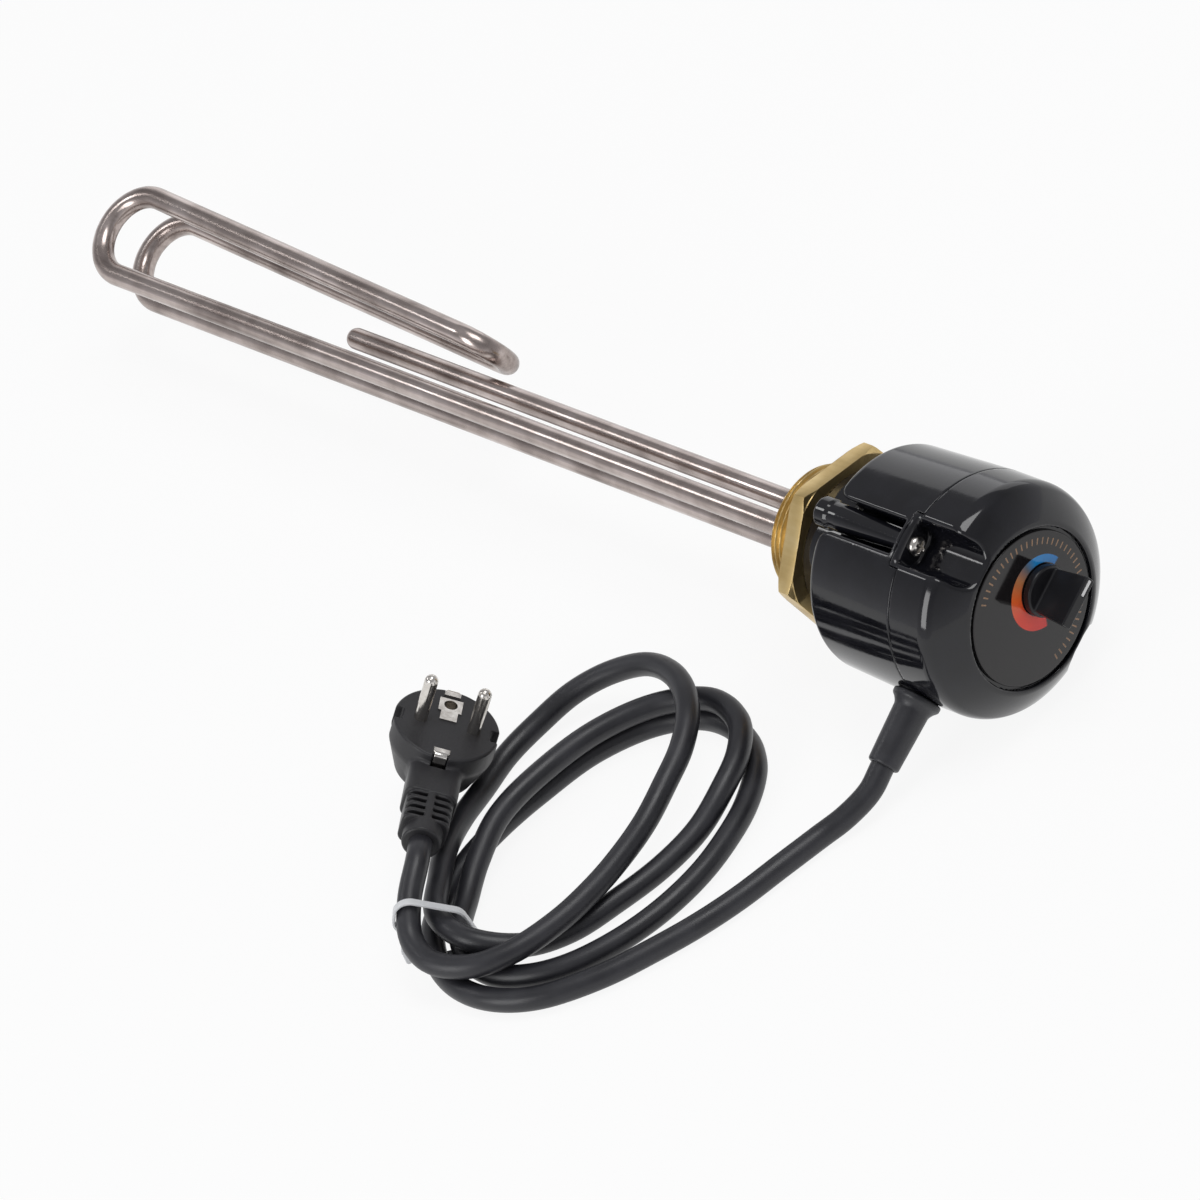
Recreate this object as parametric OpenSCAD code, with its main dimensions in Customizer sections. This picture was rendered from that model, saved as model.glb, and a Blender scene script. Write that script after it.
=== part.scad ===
// Screw plug immersion heater with a regulated head, a coiled supply cord and a mains plug.
// The heater's axis is X, the dial faces +X and the sealing face of the screw plug lies at X = 0.

/* [Screw plug] */
// Outside diameter of the thread
thread_d = 47.8; // [47:0.1:49]
// Length of the thread behind the hexagon
thread_l = 13; // [11:0.5:18]
// Hexagon width across the flats
hex_af = 60; // [59:0.5:64]
// Height of the hexagon
hex_h = 7; // [6:0.5:9]
// Turn of the hexagon from the dial's upright
hex_turn = 3.6; // [-10:0.1:10]
// Chamfer on the hexagon's edges and the thread's end
edge_chamfer = 1.2; // [0.6:0.1:1.8]

/* [Heating element] */
// Outside diameter of the element tube
tube_d = 8.2; // [7:0.1:9]
// Distance between the two legs
leg_pitch = 24; // [22:0.5:26]
// How far the legs lie below the heater's axis
leg_drop = 6; // [4.5:0.5:7.5]
// Sealing face to the centre of the far bends
element_l = 372; // [330:1:440]
// Centre-line radius of the far bends
fold_r = 16; // [15.5:0.1:19]
// Length of the returning legs
return_l = 171; // [120:1:185]
// Slant of the returning legs towards the axis
return_tilt = 2.684; // [0:0.001:3.5]
// Stub of the element tube in front of the screw plug
tube_stub = 5; // [4:0.5:7]
// Gap filled with braze between a tube and the plug
braze_gap = 0.05; // [0.02:0.01:0.1]
// Diameter of the terminal studs in the element's ends
stud_d = 4; // [3:0.1:4.5]
// Length of the terminal studs in front of the tube
stud_l = 16; // [12:0.5:20]
// Length of the insulating beads
bead_l = 5; // [3:0.5:8]

/* [Sensor pocket] */
// Outside diameter of the sensor pocket
pocket_d = 8; // [7.4:0.1:9]
// Wall of the sensor pocket
pocket_wall = 0.6; // [0.4:0.05:0.8]
// Sealing face to the round end's centre
pocket_l = 257; // [200:1:320]
// Height of the sensor pocket above the heater's axis
pocket_rise = 5.3; // [4.5:0.1:6.5]
// Play of the sensor bulb in its pocket, all round
bulb_play = 0.4; // [0.2:0.05:0.6]
// Length of the sensor bulb
bulb_l = 105; // [80:1:130]
// Diameter of the capillary
capillary_d = 2; // [1.5:0.1:3]

/* [Rear shell] */
// Turn of the head about the heater's axis
clocking = 24; // [15:1:30]
// Gap between the hexagon and the rear rim
rim_gap = 16; // [14:0.5:19]
// Outside diameter at the rear rim
rim_d = 80.4; // [79:0.2:82]
// Rounding of the rear rim
rim_fillet = 2; // [1:0.1:2.4]
// Outside diameter at the split
shell_d = 84; // [83:0.2:87]
// Rear rim to the split
shell_l = 41.2; // [38:0.2:45]
// Length of the straight lip inside the split
flange_l = 3.6; // [3:0.1:5]
// Wall of the shell and the cover
wall = 2.5; // [2:0.1:2.8]
// Outside diameter of the neck on the hexagon
neck_d = 54; // [52.5:0.5:56]
// Thickness of the neck's floor
neck_floor = 3; // [2.5:0.1:4]
// Width of the side channels
channel_w = 12.4; // [12:0.1:14]
// Corner radius at the channels' rear mouths
channel_mouth_r = 6; // [3:0.1:6.5]
// Distance between the two cover screws
screw_pitch = 71; // [70.4:0.1:72]
// Diameter of the screw bosses
boss_d = 10; // [9:0.1:10.6]
// Diameter of the screw bosses at their front ends
boss_tip_d = 6.8; // [6.4:0.1:8]
// How far the screw bosses reach behind the rear rim
boss_reach = 5; // [2:0.1:8]
// Diameter of the cover screws
screw_d = 3.6; // [3:0.1:4]
// Length of the cover screws under the head
screw_l = 18; // [14:0.5:24]

/* [Front cover] */
// Split to the front rim
cover_l = 26.6; // [25.8:0.1:30]
// Straight part of the cover's side
side_l = 15; // [14:0.1:16]
// Radius of the crease between side and front
crease_r = 5; // [3:0.1:6]
// Swell of the sloped front
front_swell = 0.5; // [0:0.05:0.8]
// Diameter of the dial recess
recess_d = 57.6; // [56:0.1:58]
// Width of the flat rim round the recess
rim_w = 1.2; // [0.8:0.1:1.4]
// Depth of the dial recess
recess_h = 2; // [1.8:0.1:2.6]
// Inside width of the screw wells
well_w = 16; // [15:0.1:17]
// Rounding of the screw wells' outer lips
well_lip_r = 4; // [2:0.1:4.4]
// How far the well floors reach behind the split
well_drop = 1.6; // [1:0.1:2]

/* [Dial and knob] */
// Thickness of the dial plate
dial_t = 1.5; // [1:0.1:1.7]
// Groove round the dial plate
dial_gap = 1.3; // [0.6:0.1:1.6]
// Height of the knob's axis above the heater's axis
knob_rise = 7.4; // [6:0.1:8.5]
// Diameter of the knob's base
knob_d = 18.4; // [17:0.1:20]
// Height of the knob's base
knob_base_h = 3; // [2:0.1:4]
// Length of the knob's grip
grip_l = 17; // [14:0.1:18]
// Thickness of the knob's grip
grip_t = 4.6; // [4:0.1:6]
// Height of the grip above the base
grip_h = 14.2; // [10:0.1:18]
// Gap between the knob and the dial plate
knob_gap = 0.5; // [0.3:0.1:1]
// Diameter of the regulator's shaft
shaft_d = 6; // [5.5:0.1:6.5]
// Thickness of the flattened end of the shaft
tang_t = 3; // [2.6:0.1:3.2]
// Clearance of the shaft in the regulator, all round
shaft_play = 0.05; // [0.02:0.01:0.08]

/* [Inside the head] */
// Width of the regulator's body
reg_w = 28; // [24:0.5:32]
// Height of the regulator's body
reg_h = 30; // [26:0.5:32]
// Depth of the regulator's body
reg_l = 26; // [22:0.5:28]
// Thickness of the regulator's bracket
bracket_t = 1.5; // [1:0.1:2]
// Distance between the regulator's two screws
reg_pitch = 28; // [27:0.5:30]
// Diameter of the limiter
limiter_d = 12; // [10:0.1:12.6]
// Height of the limiter
limiter_h = 8; // [6:0.1:12]
// Width of the terminal block
block_w = 20; // [18:0.5:22]
// Height of the terminal block
block_h = 9; // [8:0.1:9.4]
// Depth of the terminal block
block_l = 14; // [10:0.5:18]

/* [Cord and sleeve] */
// Diameter of the supply cord
cord_d = 8.5; // [8:0.1:8.6]
// Distance of the sleeve's axis behind the split
sleeve_back = 1.2; // [0.6:0.1:2]
// Outside diameter of the sleeve at its root
sleeve_d = 12.8; // [12:0.1:13.6]
// Outside diameter of the sleeve at its tip
sleeve_tip_d = 11.4; // [10.4:0.1:12]
// Sleeve's length outside the head
sleeve_l = 26.5; // [24:0.1:28]
// Diameter of the sleeve's flanges
sleeve_flange_d = 17.5; // [16:0.1:18]
// Thickness of the sleeve's outer flange
sleeve_flange_t = 3.4; // [2.5:0.1:5]
// Clearance between the sleeve and the cord or the head
sleeve_play = 0.1; // [0.05:0.05:0.2]
// Width of the cord clamp's bars
clamp_w = 22; // [21:0.5:24]
// Thickness of the cord clamp's bars
clamp_t = 3; // [2.5:0.1:4]
// Width of the cable tie
tie_w = 2.8; // [2.4:0.1:4.6]
// Thickness of the cable tie
tie_t = 1; // [0.8:0.1:1.1]

/* [Mains plug] */
// Diameter of the plug's face
face_d = 37.5; // [36:0.1:38.5]
// Depth of the plug's body
plug_l = 23; // [21:0.5:24]
// Diameter of the plug's pins
pin_d = 4.8; // [4:0.1:4.9]
// Length of the plug's pins
pin_l = 19; // [18:0.1:21]
// Distance between the plug's pins
pin_pitch = 19; // [18.5:0.1:19.5]
// Depth of the pins in the plug's body
pin_sink = 6; // [4:0.5:9]
// Distance of the neck's end from the face's middle
neck_reach = 53; // [52:0.1:54]
// Depth of the neck's axis behind the face
neck_depth = 11; // [10.5:0.1:11.5]
// Width of the plug's neck
neck_w = 18.6; // [17:0.1:19]
// Height of the plug's neck
neck_h = 14.4; // [14:0.1:15]

/* [Hidden] */
$fn = 64;

brass = [0.80, 0.66, 0.38];
steel = [0.72, 0.70, 0.68];
nickel = [0.82, 0.81, 0.78];
black = [0.07, 0.07, 0.08];
dark_grey = [0.17, 0.17, 0.18];
cream = [0.87, 0.84, 0.76];
clear_white = [0.86, 0.87, 0.87];

thread_r = thread_d / 2;
hex_r = hex_af / 2 / cos(30);
tube_r = tube_d / 2;
leg_z = leg_pitch / 2;
stub_x = hex_h + tube_stub;
bead_r = tube_r - 0.3;
bulb_d = pocket_d - 2 * pocket_wall - 2 * bulb_play;
fixing_d = 5;
fixing_head_d = 8.4;
fixing_room = 1.3;
fixing_sink = 5;
earth_y = 10;
earth_z = 13;
earth_d = 4;

rim_x = hex_h + rim_gap;
split_x = rim_x + shell_l;
shell_r = shell_d / 2;
rim_r = rim_d / 2;
floor_x = rim_x + wall;
neck_r = neck_d / 2;
neck_bore_r = neck_r - wall;
fixing_y = neck_bore_r - fixing_head_d / 2 - fixing_room;
screw_z = screw_pitch / 2;
boss_r = boss_d / 2;
lining = 2.2;
channel_floor = screw_z - boss_r - 1.5;
well_floor_x = split_x - well_drop;
well_seat_x = well_floor_x - lining;
channel_end_x = well_seat_x - lining;
front_x = split_x + cover_l;
recess_r = recess_d / 2;
dial_x = front_x - recess_h;
front_wall_x = dial_x - wall;
front_rim_r = recess_r + rim_w;
well_in = front_rim_r + 0.3;
crease_turn = 46;

knob_x = dial_x + dial_t + knob_gap;
knob_top_x = knob_x + knob_base_h + grip_h;
shaft_r = shaft_d / 2;
shaft_back_x = front_wall_x - 16;
shaft_front_x = knob_x + knob_base_h + 9;
bracket_x = front_wall_x - bracket_t;
reg_x = bracket_x - reg_l;
can_l = 4;
can_r = 12.5;
inner_room = 0.3;
limiter_y = rim_r - wall - limiter_d / 2 - inner_room;
block_y = sqrt(pow(rim_r - wall, 2) - pow(block_w / 2, 2)) - block_h / 2 - inner_room;

cord_r = cord_d / 2;
sleeve_x = split_x - sleeve_back;
sleeve_root = shell_r + 0.05;
sleeve_end = shell_r + sleeve_l;
sleeve_neck_r = 6.9;
sleeve_in = shell_r - wall - 1.5;
tail_in = 24;
clamp_y = 31;
clamp_depth = 6;
clamp_screw_z = 8;
clamp_screw_d = 3.2;
saddle_x = sleeve_x - cord_r - clamp_t;

plug_turn = [-33.5, -5, -51];
plug_at = [-87.4, -124, -9.4];
face_r = face_d / 2;
pin_step = 0.4;

// Turns a vector as rotate() does
function turn_x(v, a) = [v[0], v[1] * cos(a) - v[2] * sin(a), v[1] * sin(a) + v[2] * cos(a)];
function turn_y(v, a) = [v[0] * cos(a) + v[2] * sin(a), v[1], v[2] * cos(a) - v[0] * sin(a)];
function turn_z(v, a) = [v[0] * cos(a) - v[1] * sin(a), v[0] * sin(a) + v[1] * cos(a), v[2]];
function turned(v, a) = turn_z(turn_y(turn_x(v, a[0]), a[1]), a[2]);

// Route of the supply cord: out of the sleeve, over the table, round the coil and up to the plug
sleeve_way = turn_x([0, -1, 0], clocking);
cord_start = [sleeve_x, 0, 0] + sleeve_end * sleeve_way;
plug_way = turned([1, 0, 0], plug_turn);
cord_finish = plug_at + turned([neck_reach, 0, -neck_depth], plug_turn);
cord_lay = [
    [59.5, -82, -35.5], [55, -92.5, -37.5], [51.5, -109, -37.5], [48, -126, -37.5], [43, -142, -37.5],
    [36, -158, -37.5], [27, -175, -37.5], [14, -191, -37.5], [0, -199.5, -37.5], [-16, -202, -37.5],
    [-32, -198, -37], [-46, -187.5, -36], [-55.5, -172.5, -37], [-61, -155.5, -37.5], [-62, -137, -37.5],
    [-60, -118, -37.5], [-55, -95, -37.5], [-43, -75.5, -37.5], [-26, -65, -37.5], [-7, -66, -37.5],
    [8, -75.5, -37.5], [18, -91, -37.5], [23.5, -108, -37.5], [26, -125, -37.5], [25, -143, -37.5],
    [20.5, -160, -37.5], [12.5, -175.5, -37.5], [2, -186, -37.5], [-11, -191.5, -37.5], [-25.5, -190, -37],
    [-38, -181.5, -36], [-46, -169.5, -35.5], [-52.5, -155.5, -32.5], [-57, -138, -29], [-57, -117, -28.5],
    [-52, -93, -28.5], [-40, -73.5, -28.5], [-22.5, -63, -28.5], [-5, -66.5, -28.5], [6, -78, -29],
    [11, -92.5, -31], [12, -109, -35.5], [10, -127, -37.5], [6, -146, -37.5], [0, -164, -37.5],
    [-9, -178.5, -34.5], [-24, -188, -28.5], [-41.5, -185, -27], [-53.5, -172, -27.5], [-65.5, -157.5, -30],
    [-75.5, -142, -34.5], [-81.8, -126, -37.6], [-85.5, -109, -37.6], [-84, -93.5, -36], [-78, -79, -32],
    [-66.5, -68, -27.5], [-50, -62.5, -22.5], [-32, -65.5, -19.5], [-17, -75.5, -19.5], [-8.5, -89, -22],
    [-5, -103.5, -25.5], [-1.5, -118.5, -28], [1.5, -134.5, -28.5], [3, -150.5, -28.5], [2, -167.5, -28.5],
    [-3, -184.5, -28.5], [-12.5, -197, -28.5], [-27, -202.5, -27.5], [-39.5, -199, -24.5], [-46.5, -189.5, -18]];
cord_path = concat([cord_start, cord_start + 10 * sleeve_way], cord_lay,
    [cord_finish + 10 * plug_way, cord_finish]);

// The four strands that the tie holds, across the bundle and up, with both ends of the two that slant
tie_strands = [[156, -36.4], [166.6, -36.3], [157.2, -27.6], [161, -27.2], [169.1, -19.3], [170.4, -22.2]];
tie_play = 0.5;
tie_along = -103;
tie_turn = 226;

// Straight round bar along X
module bar_x(x0, x1, r, y = 0, z = 0) {
    translate([x0, y, z])
        rotate([0, 90, 0])
            cylinder(r = r, h = x1 - x0);
}

// Solid of revolution about X, from a profile of radius and X
module turned_x(profile) {
    rotate([0, 90, 0])
        rotate([0, 0, 90])
            rotate_extrude()
                polygon(profile);
}

// A flat shape in Y and Z, drawn out along X
module drawn_x(x0, x1) {
    translate([x0, 0, 0])
        rotate([90, 0, 90])
            linear_extrude(height = x1 - x0)
                children();
}

// Same piece on the 9 o'clock and the 3 o'clock side
module both_sides() {
    children();
    rotate([180, 0, 0])
        children();
}

// Turns what is drawn with the dial upright to the way the head is clocked
module clocked() {
    rotate([clocking, 0, 0])
        children();
}

// Pan head screw along X, its head towards +X
module pan_screw(seat, y, z, d, l, head_d, head_h) {
    bar_x(seat - l, seat, d / 2, y, z);
    difference() {
        translate([seat, y, z])
            turned_x([[0, 0], [head_d / 2, 0], [head_d / 2, head_h * 0.55], [head_d * 0.43, head_h * 0.82],
                [head_d * 0.3, head_h], [0, head_h]]);
        for (a = [0, 90])
            translate([seat + head_h, y, z])
                rotate([a + 20, 0, 0])
                    cube([head_h, head_d * 0.6, head_d * 0.13], center = true);
    }
}

// Brass hexagon and threaded spigot, drilled for the tubes and the fixing screws
module screw_plug() {
    c = edge_chamfer;
    color(brass) clocked() difference() {
        union() {
            intersection() {
                rotate([hex_turn, 0, 0])
                    rotate([0, 90, 0])
                        cylinder(r = hex_r, h = hex_h, $fn = 6);
                turned_x([[0, 0], [hex_r - 2 * c, 0], [hex_r, c], [hex_r, hex_h - c],
                    [hex_r - 2 * c, hex_h], [0, hex_h]]);
            }
            turned_x([[0, -thread_l], [thread_r - c, -thread_l], [thread_r, c - thread_l], [thread_r, 0.01], [0, 0.01]]);
        }
        for (s = [-1, 1]) {
            bar_x(-thread_l - 1, hex_h + 1, tube_r + braze_gap, -leg_drop, s * leg_z);
            bar_x(hex_h - fixing_sink, hex_h + 1, fixing_d / 2, s * fixing_y, 0);
        }
        bar_x(-thread_l - 1, hex_h + 1, pocket_d / 2 + braze_gap, pocket_rise, 0);
        bar_x(hex_h - fixing_sink, hex_h + 1, earth_d / 2, earth_y, earth_z);
    }
}

// One tube: two legs, two far bends, two returning legs and the near bend that joins them
module heating_element() {
    color(steel) clocked() difference() {
        union() {
            for (s = [-1, 1])
                bar_x(-element_l, stub_x, tube_r, -leg_drop, s * leg_z);
            translate([-element_l, fold_r - leg_drop, 0])
                rotate([0, 0, -return_tilt]) {
                    for (s = [-1, 1])
                        translate([0, 0, s * leg_z]) {
                            rotate([0, 0, 90])
                                rotate_extrude(angle = 180 + return_tilt)
                                    translate([fold_r, 0])
                                        circle(r = tube_r);
                            bar_x(0, return_l, tube_r, fold_r);
                        }
                    translate([return_l, fold_r, 0])
                        rotate([90, 0, 0])
                            rotate([0, 0, -90])
                                rotate_extrude(angle = 180)
                                    translate([leg_z, 0])
                                        circle(r = tube_r);
                }
        }
        for (s = [-1, 1])
            bar_x(stub_x - stud_l / 2, stub_x + 1, stud_d / 2, -leg_drop, s * leg_z);
    }
}

// Threaded studs in the cold ends of the element
module terminal_studs() {
    color(nickel) clocked()
        for (s = [-1, 1])
            bar_x(stub_x - stud_l / 2, stub_x + stud_l, stud_d / 2, -leg_drop, s * leg_z);
}

// Ceramic beads that close the element's ends
module insulating_beads() {
    color(cream) clocked()
        for (s = [-1, 1])
            translate([stub_x, -leg_drop, s * leg_z])
                difference() {
                    turned_x([[0, 0], [bead_r, 0], [bead_r, bead_l * 0.6], [bead_r * 0.75, bead_l], [0, bead_l]]);
                    bar_x(-1, bead_l + 1, stud_d / 2);
                }
}

// Closed tube that keeps the sensor dry
module sensor_pocket() {
    r = pocket_d / 2;
    color(steel) clocked()
        translate([0, pocket_rise, 0])
            difference() {
                union() {
                    bar_x(-pocket_l, hex_h + 1.5, r);
                    translate([-pocket_l, 0, 0])
                        sphere(r = r);
                }
                bar_x(-pocket_l, hex_h + 3, r - pocket_wall);
                translate([-pocket_l, 0, 0])
                    sphere(r = r - pocket_wall);
            }
}

// Liquid-filled bulb and the capillary that leads to the regulator
module sensor_bulb() {
    color([0.72, 0.45, 0.28]) clocked()
        translate([0, pocket_rise, 0]) {
            bar_x(-pocket_l, bulb_l - pocket_l, bulb_d / 2);
            translate([-pocket_l, 0, 0])
                sphere(r = bulb_d / 2);
            bar_x(bulb_l - pocket_l, reg_x - can_l, capillary_d / 2);
        }
}

// Side channel as seen along X, from its floor outwards
module channel_shape(grow = 0) {
    translate([-channel_w / 2 - grow, channel_floor - grow])
        square([channel_w + 2 * grow, shell_r]);
}

// Rounded corners where a channel runs out at the rear rim
module channel_mouth() {
    r = channel_mouth_r;
    for (s = [0, 1])
        mirror([0, s, 0])
            translate([rim_x, channel_w / 2, channel_floor])
                linear_extrude(height = shell_r)
                    difference() {
                        translate([-1, -1])
                            square([r + 1, r + 1]);
                        translate([r, r])
                            circle(r = r);
                    }
}

// Screw well as seen along X: a slot with a round inner end and rounded outer lips
module well_shape(grow = 0, lip = 0) {
    half = well_w / 2 + grow;
    corner = 5.5 + grow;
    base = well_in + 5.5;
    translate([-half, base])
        square([2 * half, shell_r]);
    translate([corner - half, base - corner])
        square([2 * (half - corner), corner + 1]);
    for (s = [-1, 1])
        translate([s * (half - corner), base])
            circle(r = corner);
    if (lip > 0) {
        away = half + lip;
        high = sqrt(pow(shell_r - lip, 2) - away * away);
        reach = shell_r / (shell_r - lip);
        for (s = [0, 1])
            mirror([s, 0])
                difference() {
                    polygon([[half - 1, high], [away, high], [away * reach, high * reach],
                        [away * reach, high * reach + 9], [half - 1, high * reach + 9]]);
                    translate([away, high])
                        circle(r = lip);
                }
    }
}

// Moulded rear half: neck on the hexagon, drafted drum, side channels with tapered screw bosses
module rear_shell() {
    f = rim_fillet;
    outer = concat([[0, rim_x], [rim_r - f, rim_x]],
        [for (a = [15:15:90]) [rim_r - f + f * sin(a), rim_x + f - f * cos(a)]],
        [[shell_r, split_x], [0, split_x]]);
    inner = [[0, floor_x], [rim_r - wall, floor_x], [shell_r - wall, split_x - flange_l], [shell_r - wall, split_x + 1],
        [0, split_x + 1]];
    color(black) clocked() difference() {
        union() {
            difference() {
                turned_x(outer);
                difference() {
                    turned_x(inner);
                    both_sides()
                        drawn_x(rim_x, well_seat_x)
                            channel_shape(lining);
                }
                both_sides() {
                    drawn_x(rim_x - 1, channel_end_x)
                        channel_shape();
                    channel_mouth();
                    drawn_x(well_seat_x, split_x + 1)
                        well_shape(lining + 0.2);
                }
            }
            bar_x(hex_h, floor_x, neck_r);
            both_sides() {
                translate([0, 0, screw_z])
                    turned_x([[0, rim_x - boss_reach + 2], [boss_r, rim_x - boss_reach + 2], [boss_r, rim_x + boss_r],
                        [boss_tip_d / 2, channel_end_x + 0.5], [0, channel_end_x + 0.5]]);
                translate([rim_x - boss_reach, 0, screw_z])
                    turned_x([[0, 0], [boss_r - 1, 0], [boss_r + 0.6, 1.4], [boss_r + 0.6, 5], [boss_r, 8], [0, 8]]);
                translate([rim_x, -2, channel_floor - 0.5])
                    cube([channel_end_x - rim_x + 0.5, 4, screw_z - channel_floor + 0.5]);
            }
            for (s = [-1, 1])
                bar_x(floor_x - 0.5, saddle_x, 3.4, -clamp_y, s * clamp_screw_z);
        }
        bar_x(hex_h + neck_floor, floor_x + 0.01, neck_bore_r);
        both_sides()
            bar_x(well_floor_x - screw_l - 2, split_x, screw_d / 2, 0, screw_z);
        for (s = [-1, 1]) {
            bar_x(hex_h - 1, hex_h + neck_floor + 1, tube_r + 0.4, -leg_drop, s * leg_z);
            bar_x(hex_h - 1, hex_h + neck_floor + 1, fixing_d / 2, s * fixing_y, 0);
            bar_x(saddle_x - 9, saddle_x + 1, clamp_screw_d / 2, -clamp_y, s * clamp_screw_z);
        }
        bar_x(hex_h - 1, hex_h + neck_floor + 1, pocket_d / 2 + 0.4, pocket_rise, 0);
        bar_x(hex_h - 1, hex_h + neck_floor + 1, earth_d / 2, earth_y, earth_z);
        sleeve_hole();
    }
}

// Round opening for the sleeve, shared by the shell and the cover
module sleeve_hole() {
    translate([sleeve_x, 0, 0])
        rotate([90, 0, 0])
            translate([0, 0, shell_r - wall - 6])
                cylinder(r = sleeve_neck_r + sleeve_play, h = wall + 12);
}

// Two screws that hold the rear shell on the plug
module shell_screws() {
    color(nickel) clocked()
        for (s = [-1, 1])
            pan_screw(hex_h + neck_floor, s * fixing_y, 0, fixing_d, neck_floor + fixing_sink - 0.5, fixing_head_d, 3.2);
}

// Earthing screw in the plug
module earth_screw() {
    color(brass) clocked()
        pan_screw(hex_h + neck_floor, earth_y, earth_z, earth_d, neck_floor + fixing_sink - 0.5, 7.4, 2.8);
}

// Outline of the cover's front, from the end of the straight side to the rim
function crease(side_x) = [for (a = [0:crease_turn / 6:crease_turn])
    [shell_r - crease_r * (1 - cos(a)), side_x + crease_r * sin(a)]];
function slope(p, q, swell) = [for (t = [0.125:0.125:1])
    p + t * (q - p) + 4 * t * (1 - t) * swell * [0.62, 0.78]];

// Moulded front half: side, crease, swelling front, dial recess and two screw wells
module front_cover() {
    side_x = split_x + side_l;
    arc = crease(side_x);
    face = slope(arc[len(arc) - 1], [front_rim_r, front_x], front_swell);
    outer = concat([[0, well_seat_x], [shell_r, well_seat_x]], arc, face, [[0, front_x]]);
    inner = [[0, well_seat_x - 1], [shell_r - wall, well_seat_x - 1], [shell_r - wall, side_x],
        [front_rim_r + 0.6, front_wall_x], [0, front_wall_x]];
    color(black) clocked() difference() {
        turned_x(outer);
        difference() {
            turned_x(inner);
            both_sides()
                drawn_x(well_seat_x, front_x)
                    well_shape(lining);
        }
        difference() {
            bar_x(well_seat_x - 1, split_x, shell_r + 1);
            both_sides()
                drawn_x(well_seat_x, split_x + 1)
                    well_shape(lining);
        }
        both_sides() {
            drawn_x(well_floor_x, front_x + 1)
                well_shape(0, well_lip_r);
            bar_x(well_seat_x - 1, well_floor_x + 1, screw_d / 2 + 0.2, 0, screw_z);
        }
        bar_x(dial_x, front_x + 1, recess_r);
        bar_x(front_wall_x - 1, dial_x + 1, shaft_r + 0.5, knob_rise, 0);
        for (s = [-1, 1]) {
            bar_x(front_wall_x - 1, dial_x + 1, 2.1, knob_rise, s * reg_pitch / 2);
            translate([dial_x, knob_rise, s * reg_pitch / 2])
                turned_x([[0, 0.01], [3.9, 0.01], [2.1, -1.8], [0, -1.8]]);
        }
        sleeve_hole();
    }
}

// Two long screws in the wells that close the head
module cover_screws() {
    color(nickel) clocked()
        for (s = [-1, 1])
            pan_screw(well_floor_x, 0, s * screw_z, screw_d, screw_l, 7, 2.6);
}

// Round dial plate on the cover's front wall
module dial_plate() {
    color(dark_grey) clocked()
        difference() {
            bar_x(dial_x, dial_x + dial_t, recess_r - dial_gap);
            bar_x(dial_x - 1, dial_x + dial_t + 1, shaft_r + 0.5, knob_rise, 0);
        }
}

// Round shaft on the X axis, flattened to a tang inside the grip
module shaft_shape(from_x) {
    bar_x(from_x, knob_x + knob_base_h - 1, shaft_r);
    intersection() {
        bar_x(knob_x, shaft_front_x, shaft_r);
        translate([knob_x, -shaft_r, -tang_t / 2])
            cube([shaft_front_x - knob_x, shaft_d, tang_t]);
    }
}

// Knob with a round base and a flat grip, pressed on the shaft
module control_knob() {
    top = knob_top_x - knob_x;
    color(black) clocked()
        translate([knob_x, knob_rise, 0])
            difference() {
                union() {
                    turned_x([[0, 0], [knob_d / 2, 0], [knob_d / 2, knob_base_h - 0.6],
                        [knob_d / 2 - 0.6, knob_base_h], [0, knob_base_h]]);
                    translate([0, -grip_l / 2, -grip_t / 2])
                        cube([top, grip_l, grip_t]);
                }
                translate([-knob_x, 0, 0])
                    shaft_shape(knob_x - 1);
                for (s = [0, 1])
                    mirror([0, 0, s])
                        translate([top, 0, grip_t / 2])
                            rotate([0, 45, 0])
                                cube([0.9, grip_l + 2, 0.9], center = true);
                for (s = [-1, 1])
                    translate([top, s * grip_l / 2, 0])
                        rotate([0, 0, 45])
                            cube([1.1, 1.1, grip_t + 2], center = true);
                translate([top - 0.3, grip_l / 2 - 6.2, -0.5])
                    cube([1, 5, 1]);
            }
}

// Shaft that carries the knob and turns in the regulator
module regulator_shaft() {
    color(nickel) clocked()
        translate([0, knob_rise, 0])
            shaft_shape(shaft_back_x);
}

// Regulator: bracket on the cover's front wall, body and diaphragm can
module regulator_body() {
    color(cream) clocked()
        translate([0, knob_rise, 0])
            difference() {
                union() {
                    translate([bracket_x, -8, -reg_pitch / 2 - 4.5])
                        cube([bracket_t, 16, reg_pitch + 9]);
                    translate([reg_x, -reg_h / 2, -reg_w / 2])
                        cube([reg_l, reg_h, reg_w]);
                    bar_x(reg_x - can_l, reg_x + 0.5, can_r);
                }
                bar_x(shaft_back_x - 0.5, front_wall_x + 1, shaft_r + shaft_play);
                for (s = [-1, 1])
                    bar_x(bracket_x - 4, front_wall_x + 1, 1.9, 0, s * reg_pitch / 2);
                for (s = [-1, 1])
                    translate([reg_x - 1, s * reg_h / 2, 0])
                        cube([9, 5, reg_w - 8], center = true);
            }
}

// Countersunk screws under the dial plate that hold the regulator
module regulator_screws() {
    color(nickel) clocked()
        for (s = [-1, 1])
            translate([dial_x, knob_rise, s * reg_pitch / 2])
                difference() {
                    turned_x([[0, 0], [3.8, 0], [1.9, -1.9], [1.9, -wall - bracket_t - 2], [0, -wall - bracket_t - 2]]);
                    cube([1.6, 5, 0.9], center = true);
                }
}

// Overheat limiter on the rear wall, with its two blades
module limiter() {
    color(dark_grey) clocked()
        rotate([45, 0, 0])
            translate([floor_x, limiter_y, 0]) {
                bar_x(0, limiter_h, limiter_d / 2);
                bar_x(limiter_h, limiter_h + 2.5, limiter_d / 2 - 2);
                for (s = [-1, 1])
                    translate([limiter_h, -2, s * (limiter_d / 2 - 1.2) - 0.4])
                        cube([8, 4, 0.8]);
            }
}

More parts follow.
